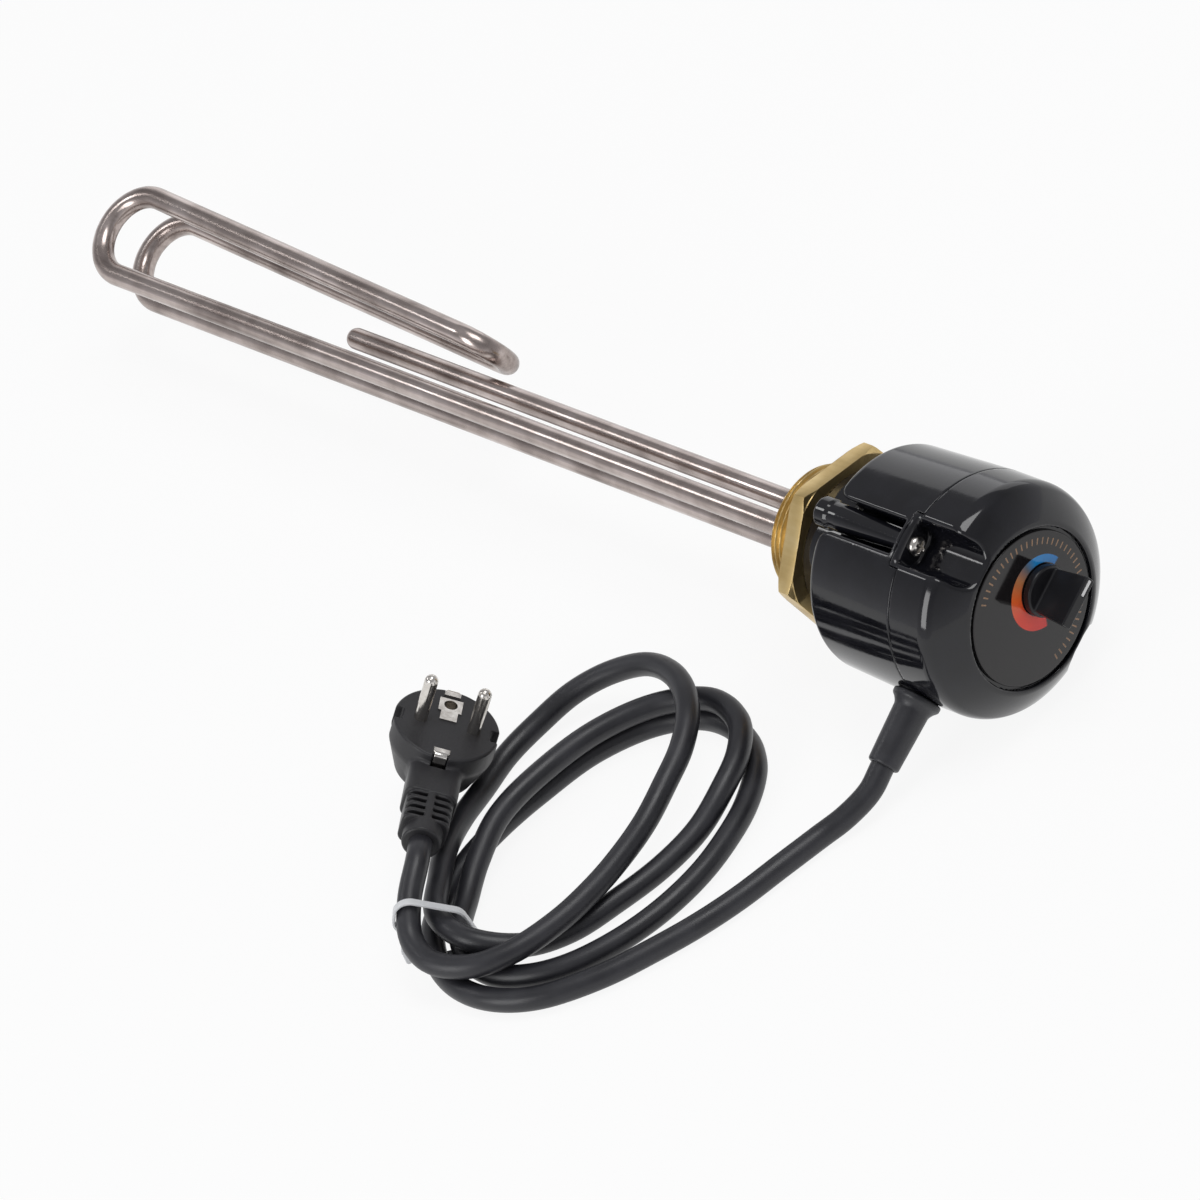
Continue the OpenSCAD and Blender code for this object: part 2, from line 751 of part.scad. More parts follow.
// Three-pole terminal block on the rear wall
module terminal_block() {
    pole = block_w / 3;
    color(cream) clocked()
        translate([floor_x, block_y - block_h / 2, -block_w / 2])
            difference() {
                cube([block_l, block_h, block_w]);
                for (i = [0:2]) {
                    translate([block_l - 4, block_h / 2, (i + 0.5) * pole])
                        rotate([0, 90, 0])
                            cylinder(d = 3.4, h = 5);
                    translate([block_l / 2, -1, (i + 0.5) * pole])
                        rotate([-90, 0, 0])
                            cylinder(d = 2.8, h = block_h - 1);
                }
                for (i = [1:2])
                    translate([block_l - 3, -1, i * pole - 0.5])
                        cube([4, block_h + 2, 1]);
            }
}

// Rubber sleeve held in the split, with a flange on each side of the wall
module cord_sleeve() {
    root = sleeve_root + sleeve_flange_t;
    bore = cord_r + sleeve_play;
    fl = sleeve_flange_d / 2;
    color(dark_grey) clocked()
        translate([sleeve_x, 0, 0])
            rotate([90, 0, 0])
                rotate_extrude()
                    polygon([[bore, sleeve_in - 2.5], [fl, sleeve_in - 2.5], [fl, sleeve_in], [sleeve_neck_r, sleeve_in],
                        [sleeve_neck_r, sleeve_root], [fl, sleeve_root], [fl, root - 1.4], [fl - 1, root - 0.8],
                        [sleeve_d / 2 + 0.9, root], [sleeve_d / 2, root + 1.6], [sleeve_tip_d / 2, sleeve_end - 0.6],
                        [sleeve_tip_d / 2 - 0.6, sleeve_end], [bore, sleeve_end]]);
}

// Straight end of the cord inside the sleeve and the clamp
module cord_tail() {
    color(dark_grey) clocked()
        translate([sleeve_x, 0, 0])
            rotate([90, 0, 0])
                translate([0, 0, tail_in])
                    cylinder(r = cord_r, h = sleeve_end - tail_in);
}

// Two bars that grip the cord
module cord_clamp() {
    color(cream) clocked()
        for (x = [saddle_x, sleeve_x + cord_r])
            difference() {
                translate([x, -clamp_y - clamp_depth / 2, -clamp_w / 2])
                    cube([clamp_t, clamp_depth, clamp_w]);
                for (s = [-1, 1])
                    bar_x(x - 1, x + clamp_t + 1, clamp_screw_d / 2, -clamp_y, s * clamp_screw_z);
            }
}

// Screws of the cord clamp
module clamp_screws() {
    seat = sleeve_x + cord_r + clamp_t;
    color(nickel) clocked()
        for (s = [-1, 1])
            pan_screw(seat, -clamp_y, s * clamp_screw_z, clamp_screw_d, seat - saddle_x + 7, 6, 2.2);
}

// Tube swept along a path, with a ring of corners at each point
function unit(v) = v / norm(v);
function way(path, i) = unit(path[min(i + 1, len(path) - 1)] - path[max(i - 1, 0)]);
function ring_at(p, t, r, n) = let (side = unit(cross([0, 0, 1], t)), up = cross(t, side))
    [for (k = [0:n - 1]) p + r * (cos(360 * k / n) * side + sin(360 * k / n) * up)];
module swept_tube(path, r, n) {
    m = len(path);
    points = [for (i = [0:m - 1]) each ring_at(path[i], way(path, i), r, n)];
    sides = [for (i = [0:m - 2]) for (k = [0:n - 1])
        [i * n + k, (i + 1) * n + k, (i + 1) * n + (k + 1) % n, i * n + (k + 1) % n]];
    caps = [[for (k = [0:n - 1]) k], [for (k = [n - 1:-1:0]) (m - 1) * n + k]];
    polyhedron(points, concat(sides, caps));
}

// Supply cord on the table
module power_cord() {
    color(dark_grey)
        swept_tube(cord_path, cord_r, 10);
}

// Outline round the strands that the tie holds
module bundle(grow) {
    hull()
        for (p = tie_strands)
            translate(p)
                circle(r = cord_r + grow, $fn = 32);
}

// Nylon tie round the coil, with its head on the outer side
module cable_tie() {
    out = tie_strands[1][0] + cord_r + tie_play + tie_t;
    color(clear_white)
        rotate([90, 0, tie_turn])
            translate([0, 0, tie_along - tie_w / 2]) {
                linear_extrude(height = tie_w)
                    difference() {
                        bundle(tie_play + tie_t);
                        bundle(tie_play);
                    }
                translate([out + 0.6, tie_strands[1][1] - 3, -0.8])
                    cube([4.6, 6.4, tie_w + 1.6]);
                translate([out - 0.6, tie_strands[1][1] - 2, 0.4])
                    cube([2, 4, tie_w - 0.8]);
            }
}

// Places a piece of the mains plug: face at Z = 0, pins along +Z, cord along +X
module at_plug() {
    translate(plug_at)
        rotate(plug_turn)
            children();
}

// Square with round corners
module soft_square(w, h, r) {
    square([w - 2 * r, h], center = true);
    square([w, h - 2 * r], center = true);
    for (a = [-1, 1])
        for (b = [-1, 1])
            translate([a * (w / 2 - r), b * (h / 2 - r)])
                circle(r = r);
}

// Moulded plug body with guide slots, side recesses for the clips and a slotted neck
module plug_body() {
    back = face_r - 5.5;
    collar_r = cord_r + 2.6;
    slot_x = neck_reach - 20;
    slot_step = 3.5;
    color(black) at_plug() difference() {
        union() {
            rotate_extrude()
                polygon([[0, 0], [face_r - 0.8, 0], [face_r, -0.8], [face_r, -9], [face_r - 0.6, -10],
                    [back + 1, 3 - plug_l], [back - 1.5, -plug_l + 0.6], [back - 4, -plug_l], [0, -plug_l]]);
            translate([0, 0, -neck_depth]) {
                drawn_x(0, slot_x)
                    soft_square(neck_w, neck_h, 4);
                drawn_x(slot_x - 1, slot_x + 4 * slot_step)
                    soft_square(neck_w - 2, neck_h - 1.4, 4);
                turned_x([[0, slot_x], [collar_r, slot_x], [collar_r, neck_reach - 0.6], [collar_r - 0.6, neck_reach],
                    [0, neck_reach]]);
            }
        }
        for (s = [-1, 1]) {
            translate([0, s * pin_pitch / 2, -pin_sink])
                cylinder(r = pin_d / 2 - pin_step, h = pin_sink + 1);
            translate([-2.6, s * face_r - 2.4, -10])
                cube([5.2, 4.8, 11]);
            for (t = [-1, 1])
                for (i = [0:3])
                    translate([slot_x + 1.4 + i * slot_step, s * (1.4 + neck_w / 2), t * neck_h / 2 - neck_depth])
                        cube([1.7, neck_w, 5], center = true);
        }
        for (a = [0, 180])
            rotate([0, 0, a])
                translate([face_r - 1.2, -3.6, -8.6])
                    cube([2, 7.2, 10]);
        translate([-10, 0, -7])
            cylinder(r = 3.4, h = 8);
    }
}

// Round-ended contact pins
module plug_pins() {
    r = pin_d / 2;
    color(nickel) at_plug()
        for (s = [-1, 1])
            translate([0, s * pin_pitch / 2, 0])
                rotate_extrude()
                    polygon(concat([[0, -pin_sink], [r - pin_step, -pin_sink], [r - pin_step, 0], [r, 0], [r, pin_l - r]],
                        [for (a = [15:15:90]) [r * cos(a), pin_l - r + r * sin(a)]]));
}

// Spring clips for the side earth contacts
module plug_earth_clips() {
    color(nickel) at_plug()
        for (a = [0, 180])
            rotate([0, 0, a]) {
                translate([face_r - 1.2, -2.2, -8.4])
                    cube([1, 4.4, 9.2]);
                translate([face_r - 4.2, -2.9, 0])
                    cube([4, 5.8, 0.8]);
            }
}

// Socket for an earth pin in the plug's face
module plug_earth_socket() {
    color(nickel) at_plug()
        translate([-10, 0, 0])
            difference() {
                union() {
                    translate([0, 0, -6.8])
                        cylinder(r = 3.4, h = 6.8);
                    translate([-3.2, -4.1, 0])
                        cube([6.8, 8.2, 0.5]);
                    translate([3, -3, 0])
                        cube([5.4, 6, 0.5]);
                }
                translate([0, 0, -5.5])
                    cylinder(r = 2.4, h = 8);
            }
}

screw_plug();
heating_element();
terminal_studs();
insulating_beads();
sensor_pocket();
sensor_bulb();
rear_shell();
shell_screws();
earth_screw();
front_cover();
cover_screws();
dial_plate();
control_knob();
regulator_shaft();
regulator_body();
regulator_screws();
limiter();
terminal_block();
cord_sleeve();
cord_tail();
cord_clamp();
clamp_screws();
power_cord();
cable_tie();
plug_body();
plug_pins();
plug_earth_clips();
plug_earth_socket();
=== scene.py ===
"""Dressed model of a screw plug immersion heater with a regulated head, a coiled cord and a mains plug.

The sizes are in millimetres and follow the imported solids. The heater's axis is X and the dial faces +X.
"""
import logging
import math
from dataclasses import dataclass, replace
from enum import Enum
from functools import reduce
from typing import Any, Callable, Sequence

import bpy
import numpy as np
from mathutils import Matrix, Vector


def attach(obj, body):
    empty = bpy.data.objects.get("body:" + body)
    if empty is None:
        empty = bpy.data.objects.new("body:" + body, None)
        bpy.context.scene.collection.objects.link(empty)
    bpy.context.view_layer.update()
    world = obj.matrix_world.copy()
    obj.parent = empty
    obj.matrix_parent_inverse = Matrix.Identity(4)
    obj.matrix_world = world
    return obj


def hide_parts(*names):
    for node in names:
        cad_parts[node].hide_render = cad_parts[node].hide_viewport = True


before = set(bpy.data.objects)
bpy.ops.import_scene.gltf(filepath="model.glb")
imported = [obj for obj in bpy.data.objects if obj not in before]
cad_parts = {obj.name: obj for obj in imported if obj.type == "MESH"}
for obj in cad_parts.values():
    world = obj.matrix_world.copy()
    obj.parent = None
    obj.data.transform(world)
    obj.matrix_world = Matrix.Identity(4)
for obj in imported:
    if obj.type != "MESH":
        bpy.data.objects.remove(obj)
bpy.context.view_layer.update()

LOG = logging.getLogger("heater")
Array = np.ndarray
Pair = tuple[float, float]
Place = tuple[float, float, float]
Colour = tuple[float, float, float]
Field = Callable[[Array, Array, Array], Array]
Socket = bpy.types.NodeSocket
MM = 0.001
CLOCKING = math.radians(24.0)
KNOB_Y = 7.4
SHARP = 35.0
AXIS_X = (1.0, 0.0, 0.0)
AXIS_Z = (0.0, 0.0, 1.0)


class Body(Enum):
    """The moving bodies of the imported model."""

    HEATER = "heater"
    KNOB = "knob"


class Slot(Enum):
    """The record's material slots."""

    BRASS = "brass"
    STAINLESS = "stainless"
    NICKEL = "nickel"
    SHELL = "black_shell"
    DIAL = "dial"
    KNOB = "black_knob"
    RUBBER = "rubber"
    PLUG = "plug_rubber"
    NYLON = "nylon"


# Surfaces


def head_frame(points: Array) -> Array:
    """Turns points drawn with the dial upright by the head's clocking about X.

    Args:
        points: places in millimetres, with the dial upright.

    Returns:
        The same places in the part's frame, in millimetres.
    """
    c, s = math.cos(CLOCKING), math.sin(CLOCKING)
    x, y, z = points[..., 0], points[..., 1], points[..., 2]
    return np.stack([x, c * y - s * z, s * y + c * z], axis=-1)


def unit(vectors: Array) -> Array:
    """Vectors scaled to length one."""
    return vectors / np.linalg.norm(vectors, axis=-1, keepdims=True)


def soften(profile: Sequence[Pair], radius: float, steps: int = 4, loop: bool = False) -> Array:
    """Rounds the corners of a polyline.

    Each corner P becomes a parabola between the points at the given radius before and after it:
    (1-t)^2 A + 2t(1-t) P + t^2 B.

    Args:
        profile: corner points.
        radius: reach of the rounding along both sides, at most 0.45 of a side.
        steps: points on each rounded corner.
        loop: whether the last point joins the first.

    Returns:
        The rounded polyline, one row a point.
    """
    p = np.asarray(profile, dtype=float)
    before, after = np.roll(p, 1, axis=0) - p, np.roll(p, -1, axis=0) - p
    len_b = np.maximum(np.linalg.norm(before, axis=1, keepdims=True), 1e-9)
    len_a = np.maximum(np.linalg.norm(after, axis=1, keepdims=True), 1e-9)
    a = p + before / len_b * np.minimum(radius, 0.45 * len_b)
    b = p + after / len_a * np.minimum(radius, 0.45 * len_a)
    t = np.linspace(0.0, 1.0, steps)[None, :, None]
    arcs = (1 - t) ** 2 * a[:, None] + 2 * t * (1 - t) * p[:, None] + t**2 * b[:, None]
    if loop:
        return arcs.reshape(-1, 2)
    return np.concatenate([p[:1], arcs[1:-1].reshape(-1, 2), p[-1:]])


def revolve(profile: Array, origin: Sequence[float], axis: Sequence[float], sides: int) -> Array:
    """Carries a profile round an axis: origin + a*axis + r*(cos t*U + sin t*V).

    Args:
        profile: rows of distance along the axis and radius.
        origin: where the axis starts.
        axis: its direction.
        sides: columns of the grid.

    Returns:
        A grid of places, one row a profile point.
    """
    w = unit(np.asarray(axis, dtype=float))
    u = unit(np.cross(w, AXIS_Z if abs(w[2]) < 0.9 else AXIS_X))
    v = np.cross(w, u)
    t = np.arange(sides) * 2 * np.pi / sides
    ring = np.cos(t)[:, None] * u + np.sin(t)[:, None] * v
    return np.asarray(origin, dtype=float) + profile[:, :1, None] * w + profile[:, 1:, None] * ring


def sweep(path: Array, radius: float, sides: int, reference: Sequence[float]) -> Array:
    """Carries a circle along a path: P + r*(cos t*S + sin t*U), S across the reference and the way.

    Args:
        path: the centre line.
        radius: the circle's radius.
        sides: columns of the grid.
        reference: a direction that the path never takes.

    Returns:
        A grid of places, one row a path point.
    """
    way = unit(np.gradient(path, axis=0))
    side = unit(np.cross(np.asarray(reference, dtype=float), way))
    up = np.cross(way, side)
    t = (np.arange(sides) * 2 * np.pi / sides)[None, :, None]
    return path[:, None] + radius * (np.cos(t) * side[:, None] + np.sin(t) * up[:, None])


def smooth_curve(points: Array, steps: int) -> Array:
    """Smooth curve through points: the cubic with end slopes (P[i+1]-P[i-1])/2 on each span.

    Args:
        points: places that the curve passes.
        steps: parts of each span.

    Returns:
        The curve's points, ends included.
    """
    p = np.concatenate([2 * points[:1] - points[1:2], points, 2 * points[-1:] - points[-2:-1]])
    a, b, c, d = p[:-3, None], p[1:-2, None], p[2:-1, None], p[3:, None]
    t = (np.arange(steps) / steps)[None, :, None]
    curve = b + 0.5 * t * (c - a + t * (2 * a - 5 * b + 4 * c - d + t * (3 * (b - c) + d - a)))
    return np.concatenate([curve.reshape(-1, 3), points[-1:]])


@dataclass
class Surface:
    """Corner points in millimetres, faces of four and three corners, and the faces' map coordinates."""

    points: Array
    quads: Array
    tris: Array
    quad_map: Array
    tri_map: Array
    normals: Array | None = None

    @staticmethod
    def from_grid(grid: Array, loop_rows: bool = False) -> "Surface":
        """Joins neighbouring points of a grid to faces, and closes it.

        The last column joins the first. The last row joins the first as well, or else a fan to the middle of
        its row closes each end.

        Args:
            grid: places, rows by columns.
            loop_rows: whether the last row joins the first.

        Returns:
            The closed surface, with its faces outwards.
        """
        rows, cols = grid.shape[:2]
        i = np.arange(rows if loop_rows else rows - 1)[:, None]
        j = np.arange(cols)[None, :]
        i2, j2 = (i + 1) % rows, (j + 1) % cols
        quads = np.stack([i * cols + j, i2 * cols + j, i2 * cols + j2, i * cols + j2], axis=-1).reshape(-1, 4)
        run = np.linalg.norm(np.diff(np.concatenate([grid, grid[:1]]), axis=0), axis=-1).mean(axis=1)
        along = np.concatenate([[0.0], np.cumsum(run)]) * MM
        ones_i, ones_j = np.ones_like(i), np.ones_like(j)
        u0, u1 = along[i] * ones_j, along[i + 1] * ones_j
        v0, v1 = j / cols * ones_i, (j + 1) / cols * ones_i
        quad_map = np.stack([u0, v0, u1, v0, u1, v1, u0, v1], axis=-1).reshape(-1, 4, 2)
        points, tris, tri_map = [grid.reshape(-1, 3)], [np.zeros((0, 3), dtype=int)], [np.zeros((0, 3, 2))]
        ring = np.arange(cols)
        for row in () if loop_rows else (0, rows - 1):
            hub = np.full(cols, rows * cols + len(points) - 1)
            points.append(grid[row].mean(axis=0, keepdims=True))
            near, far = row * cols + ring, row * cols + (ring + 1) % cols
            tris.append(np.stack([near, far, hub] if row else [far, near, hub], axis=-1))
            tri_map.append(np.stack([np.full(cols, along[row]), ring / cols] * 3, axis=-1).reshape(-1, 3, 2))
        parts = np.concatenate(points), quads, np.concatenate(tris), quad_map, np.concatenate(tri_map)
        return Surface(*parts).outward()

    def volume(self) -> float:
        """Signed volume: the sum of a.(b x c)/6 over the triangles.

        Returns:
            Cubic millimetres, below nought where the faces look inwards.
        """
        q = self.points[self.quads]
        t = np.concatenate([q[:, [0, 1, 2]], q[:, [0, 2, 3]], self.points[self.tris]])
        return float((t[:, 0] * np.cross(t[:, 1], t[:, 2])).sum() / 6)

    def outward(self) -> "Surface":
        """The same surface with its faces outwards."""
        return self if self.volume() > 0 else self.turned()

    def turned(self) -> "Surface":
        """The same surface with its faces the other way."""
        quad_map, tri_map = self.quad_map[:, ::-1], self.tri_map[:, ::-1]
        return Surface(self.points, self.quads[:, ::-1], self.tris[:, ::-1], quad_map, tri_map)

    def __add__(self, other: "Surface") -> "Surface":
        """Puts two surfaces into one.

        Args:
            other: the second surface.

        Returns:
            Both in one mesh.
        """
        n = len(self.points)
        return Surface(
            np.concatenate([self.points, other.points]),
            np.concatenate([self.quads, other.quads + n]),
            np.concatenate([self.tris, other.tris + n]),
            np.concatenate([self.quad_map, other.quad_map]),
            np.concatenate([self.tri_map, other.tri_map]),
        )

    def posed(self, axes: Array, origin: Sequence[float] = (0.0, 0.0, 0.0)) -> "Surface":
        """The surface with its own x, y and z laid along three directions from an origin."""
        normals = None if self.normals is None else self.normals @ axes
        return replace(self, points=self.points @ axes + np.asarray(origin, dtype=float), normals=normals)

    def clocked(self) -> "Surface":
        """The surface turned from the upright dial to the part's frame."""
        return self.posed(head_frame(np.eye(3)))

    def to_object(self, name: str, material: bpy.types.Material, sharp: float) -> bpy.types.Object:
        """Puts the surface into a mesh object at the origin.

        Args:
            name: the piece's name.
            material: its finish.
            sharp: edges that bend by more degrees than this are shown sharp.

        Returns:
            The object, in the scene.
        """
        mesh = bpy.data.meshes.new(name)
        mesh.from_pydata((self.points * MM).tolist(), [], self.quads.tolist() + self.tris.tolist())
        layer = mesh.uv_layers.new(name="UVMap")
        corners = np.concatenate([self.quad_map.reshape(-1, 2), self.tri_map.reshape(-1, 2)])
        layer.data.foreach_set("uv", corners.astype(np.float32).ravel())
        mesh.materials.append(material)
        mesh.update()
        mesh.shade_smooth()
        if self.normals is None:
            mesh.set_sharp_from_angle(angle=math.radians(sharp))
        else:
            mesh.normals_split_custom_set_from_vertices(self.normals.tolist())
        piece = bpy.data.objects.new(name, mesh)
        bpy.context.scene.collection.objects.link(piece)
        return piece


def common(*fields: Array) -> Array:
    """Common part of solids that are given by distance: the largest of the distances."""
    return reduce(np.maximum, fields)


def joined(*fields: Array) -> Array:
    """Solids joined: the smallest of the distances."""
    return reduce(np.minimum, fields)


def round_max(a: Array, b: Array, radius: Any) -> Array:
    """Common part of two solids that are given by distance, with the corner between them rounded.

    Where a and b are both above -radius the value is hypot(a + radius, b + radius) - radius, whose zero is a
    quarter circle; elsewhere it is the larger of the two.

    Args:
        a: distance outside the first solid.
        b: distance outside the second solid.
        radius: the corner's radius, one for all places or one a place.

    Returns:
        Distance outside the common part.
    """
    corner = np.hypot(np.maximum(radius + a, 0.0), np.maximum(radius + b, 0.0))
    return np.minimum(-radius, np.maximum(a, b)) + corner


def round_min(a: Array, b: Array, radius: Any) -> Array:
    """Two solids joined, with a hollow fillet between them."""
    return -round_max(-a, -b, radius)


def steepest(field: Field, points: Array, reach: float = 0.01) -> Array:
    """Slope of a field at points, by central differences."""
    rises = [field(*(points + d).T) - field(*(points - d).T) for d in np.eye(3) * reach]
    return np.stack(rises, axis=-1) / (2 * reach)


def skin(field: Field, low: Sequence[float], high: Sequence[float], step: float) -> Surface:
    """Skin of a solid that is given by a distance field.

    On a cubic lattice, each edge whose ends lie on different sides of the surface gives a quad of the four
    cells round it. A cell's point is the mean of its crossings, moved onto the surface by
    p - f * grad f / |grad f|^2.

    Args:
        field: distance outside the solid at x, y, z.
        low: lowest corner of the lattice.
        high: highest corner.
        step: the lattice's pitch.

    Returns:
        The closed skin, with the field's slope as its normals.
    """
    axes = [np.arange(a, b + step, step) for a, b in zip(low, high)]
    value = field(*np.meshgrid(*axes, indexing="ij"))
    stride = np.array([value.shape[1] * value.shape[2], value.shape[2], 1])
    rings, spots, faces = [], [], []
    for axis in range(3):
        head, tail = [slice(None)] * 3, [slice(None)] * 3
        head[axis], tail[axis] = slice(0, -1), slice(1, None)
        a, b = value[tuple(head)], value[tuple(tail)]
        at = np.argwhere((a < 0) != (b < 0))
        a, b = a[tuple(at.T)], b[tuple(at.T)]
        spot = at.astype(float)
        spot[:, axis] += a / (a - b)
        one, two = np.roll(np.eye(3, dtype=int), -axis, axis=0)[1:]
        ring = np.stack([at - one - two, at - two, at, at - one], axis=1) @ stride
        rings.append(ring)
        spots.append(np.repeat(spot[:, None], 4, axis=1))
        faces.append(np.where((a < 0)[:, None], ring, ring[:, ::-1]))
    used, index = np.unique(np.concatenate(rings).ravel(), return_inverse=True)
    spots = np.concatenate(spots).reshape(-1, 3)
    count = np.bincount(index)
    mean = np.stack([np.bincount(index, spots[:, k]) / count for k in range(3)], axis=-1)
    points = np.array([a[0] for a in axes]) + step * mean
    for _ in range(3):
        slope = steepest(field, points)
        move = field(*points.T)[:, None] * slope / np.maximum((slope**2).sum(axis=1, keepdims=True), 0.05)
        points = points - np.clip(move, -step / 2, step / 2)
    quads = np.searchsorted(used, np.concatenate(faces))
    flat = points[quads][..., :2] * MM
    none = np.zeros((0, 3), dtype=int)
    return Surface(points, quads, none, flat, np.zeros((0, 3, 2)), unit(steepest(field, points)))


def fit(
    surface: Surface,
    name: str,
    finish: "Finish",
    nodes: Sequence[str] = (),
    body: Body = Body.HEATER,
    sharp: float = SHARP,
) -> bpy.types.Object:
    """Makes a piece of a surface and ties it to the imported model.

    Args:
        surface: the piece's shape.
        name: its name.
        finish: what it is made of.
        nodes: solids that it stands for.
        body: the body that it moves with.
        sharp: angle of the edges that stay sharp, in degrees.

    Returns:
        The piece.
    """
    piece = surface.to_object(name, finish.material(), sharp)
    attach(piece, body.value)
    if nodes:
        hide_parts(*nodes)
    LOG.info("%s: %d points on %s", name, len(surface.points), body.value)
    return piece


# Finishes


class NodeBook:
    """Writes the nodes of one shader tree."""

    def __init__(self, tree: bpy.types.NodeTree) -> None:
        """Starts with an empty tree."""
        self.tree = tree
        self.tree.nodes.clear()

    def add(self, kind: str, **settings: Any) -> bpy.types.Node:
        """Adds one node.

        Args:
            kind: the node's type.
            settings: its properties.

        Returns:
            The node.
        """
        node = self.tree.nodes.new(kind)
        for key, value in settings.items():
            setattr(node, key, value)
        return node

    def put(self, socket: Socket, value: Any) -> None:
        """Links a socket to another node's output, or sets its value.

        Args:
            socket: the input.
            value: an output, a colour or a number.
        """
        if isinstance(value, Socket):
            self.tree.links.new(value, socket)
        elif isinstance(value, tuple) and len(value) == 3 and socket.type == "RGBA":
            socket.default_value = (*value, 1.0)
        else:
            socket.default_value = value

    def wire(self, sockets: Sequence[Socket], *values: Any) -> None:
        """Puts each value into its socket."""
        for socket, value in zip(sockets, values):
            self.put(socket, value)

    def math(self, way: str, a: Any, b: Any = 0.0, c: Any = 0.0) -> Socket:
        """One Math node.

        Args:
            way: the operation.
            a: its first value.
            b: its second value.
            c: its third value.

        Returns:
            The result.
        """
        node = self.add("ShaderNodeMath", operation=way)
        self.wire(node.inputs, a, b, c)
        return node.outputs[0]

    def times(self, *values: Any) -> Socket:
        """The product of several values."""
        return reduce(lambda a, b: self.math("MULTIPLY", a, b), values)

    def split(self, vector: Socket) -> bpy.types.NodeOutputs:
        """The three parts of a vector.

        Args:
            vector: the output that carries it.

        Returns:
            Outputs named X, Y and Z.
        """
        node = self.add("ShaderNodeSeparateXYZ")
        self.put(node.inputs[0], vector)
        return node.outputs

    def spread(
        self, value: Any, low: float, high: float, to_low: float = 0.0, to_high: float = 1.0
    ) -> Socket:
        """Maps a range of values to another, cut off at its ends.

        Args:
            value: what is mapped.
            low: the range's start.
            high: its end.
            to_low: what the start becomes.
            to_high: what the end becomes.

        Returns:
            The mapped value.
        """
        node = self.add("ShaderNodeMapRange", clamp=True)
        sockets = [node.inputs[key] for key in ("Value", "From Min", "From Max", "To Min", "To Max")]
        self.wire(sockets, value, low, high, to_low, to_high)
        return node.outputs[0]

    def step(self, value: Any, at: float, half: float, falls: bool = False) -> Socket:
        """A soft step from 0 to 1 about a value, or from 1 to 0 where it falls."""
        return self.spread(value, at - half, at + half, float(falls), float(not falls))

    def ramp(self, value: Any, stops: Sequence[tuple[float, Colour]]) -> Socket:
        """A colour band.

        Args:
            value: where to look, from 0 to 1.
            stops: places from 0 to 1 with their colours.

        Returns:
            The colour.
        """
        node = self.add("ShaderNodeValToRGB")
        band = node.color_ramp.elements
        while len(band) < len(stops):
            band.new(0.5)
        for element, (place, colour) in zip(band, stops):
            element.position, element.color = place, (*colour, 1.0)
        self.put(node.inputs[0], value)
        return node.outputs[0]

    def mix(self, share: Any, a: Any, b: Any) -> Socket:
        """Two colours mixed.

        Args:
            share: how much of the second, from 0 to 1.
            a: the first colour.
            b: the second colour.

        Returns:
            The colour.
        """
        node = self.add("ShaderNodeMix", data_type="RGBA")
        self.wire((node.inputs[0], node.inputs[6], node.inputs[7]), share, a, b)
        return node.outputs[2]

    def blend(self, share: Any, a: Socket, b: Socket) -> Socket:
        """Two shaders mixed.

        Args:
            share: how much of the second, from 0 to 1.
            a: the first shader.
            b: the second shader.

        Returns:
            The shader.
        """
        node = self.add("ShaderNodeMixShader")
        self.wire(node.inputs, share, a, b)
        return node.outputs[0]

    def seen(self, gloss: float) -> Socket:
        """Tells what the camera sees from what only lights the object.

        Args:
            gloss: the value for what is seen in gloss.

        Returns:
            1 for what is seen straight or through glass, and 0 for light.
        """
        rays = self.add("ShaderNodeLightPath").outputs
        direct = self.math("MAXIMUM", rays["Is Camera Ray"], rays["Is Transmission Ray"])
        return self.math("MAXIMUM", direct, self.math("MULTIPLY", rays["Is Glossy Ray"], gloss))


class MaterialBook(NodeBook):
    """Writes the shader nodes of one material."""

    def __init__(self, name: str) -> None:
        """Starts a material with a Principled shader.

        Args:
            name: the material's name.
        """
        self.made = bpy.data.materials.new(name)
        self.made.use_nodes = True
        super().__init__(self.made.node_tree)
        self.shader = self.add("ShaderNodeBsdfPrincipled")
        self.out = self.add("ShaderNodeOutputMaterial").inputs["Surface"]
        self.put(self.out, self.shader.outputs[0])

    def set(self, **values: Any) -> None:
        """Sets the shader's sockets by name, with _ for a blank."""
        for key, value in values.items():
            self.put(self.shader.inputs[key.replace("_", " ")], value)

    def place(self, scale: Sequence[float] = (1.0, 1.0, 1.0), turn: float = 0.0) -> Socket:
        """Coordinates for a pattern.

        Args:
            scale: stretch along the three axes.
            turn: turn about X, in radians.

        Returns:
            The mapped coordinates.
        """
        mapping = self.add("ShaderNodeMapping")
        self.put(mapping.inputs["Vector"], self.add("ShaderNodeTexCoord").outputs["Object"])
        mapping.inputs["Scale"].default_value = scale
        mapping.inputs["Rotation"].default_value = (turn, 0.0, 0.0)
        return mapping.outputs[0]

    def noise(self, where: Socket, scale: float, detail: float = 3.0, rough: float = 0.55) -> Socket:
        """A cloud of values round one half.

        Args:
            where: its coordinates.
            scale: features a metre.
            detail: finer layers over the first.
            rough: how strong they are.

        Returns:
            The cloud's value.
        """
        node = self.add("ShaderNodeTexNoise")
        sockets = [node.inputs[key] for key in ("Vector", "Scale", "Detail", "Roughness")]
        self.wire(sockets, where, scale, detail, rough)
        return node.outputs["Fac"]

    def bump(self, height: Socket, depth: float) -> None:
        """Gives the shader a relief.

        Args:
            height: the relief's pattern.
            depth: its depth in metres.
        """
        node = self.add("ShaderNodeBump")
        self.wire([node.inputs[key] for key in ("Strength", "Distance", "Height")], 1.0, depth, height)
        self.set(Normal=node.outputs[0])


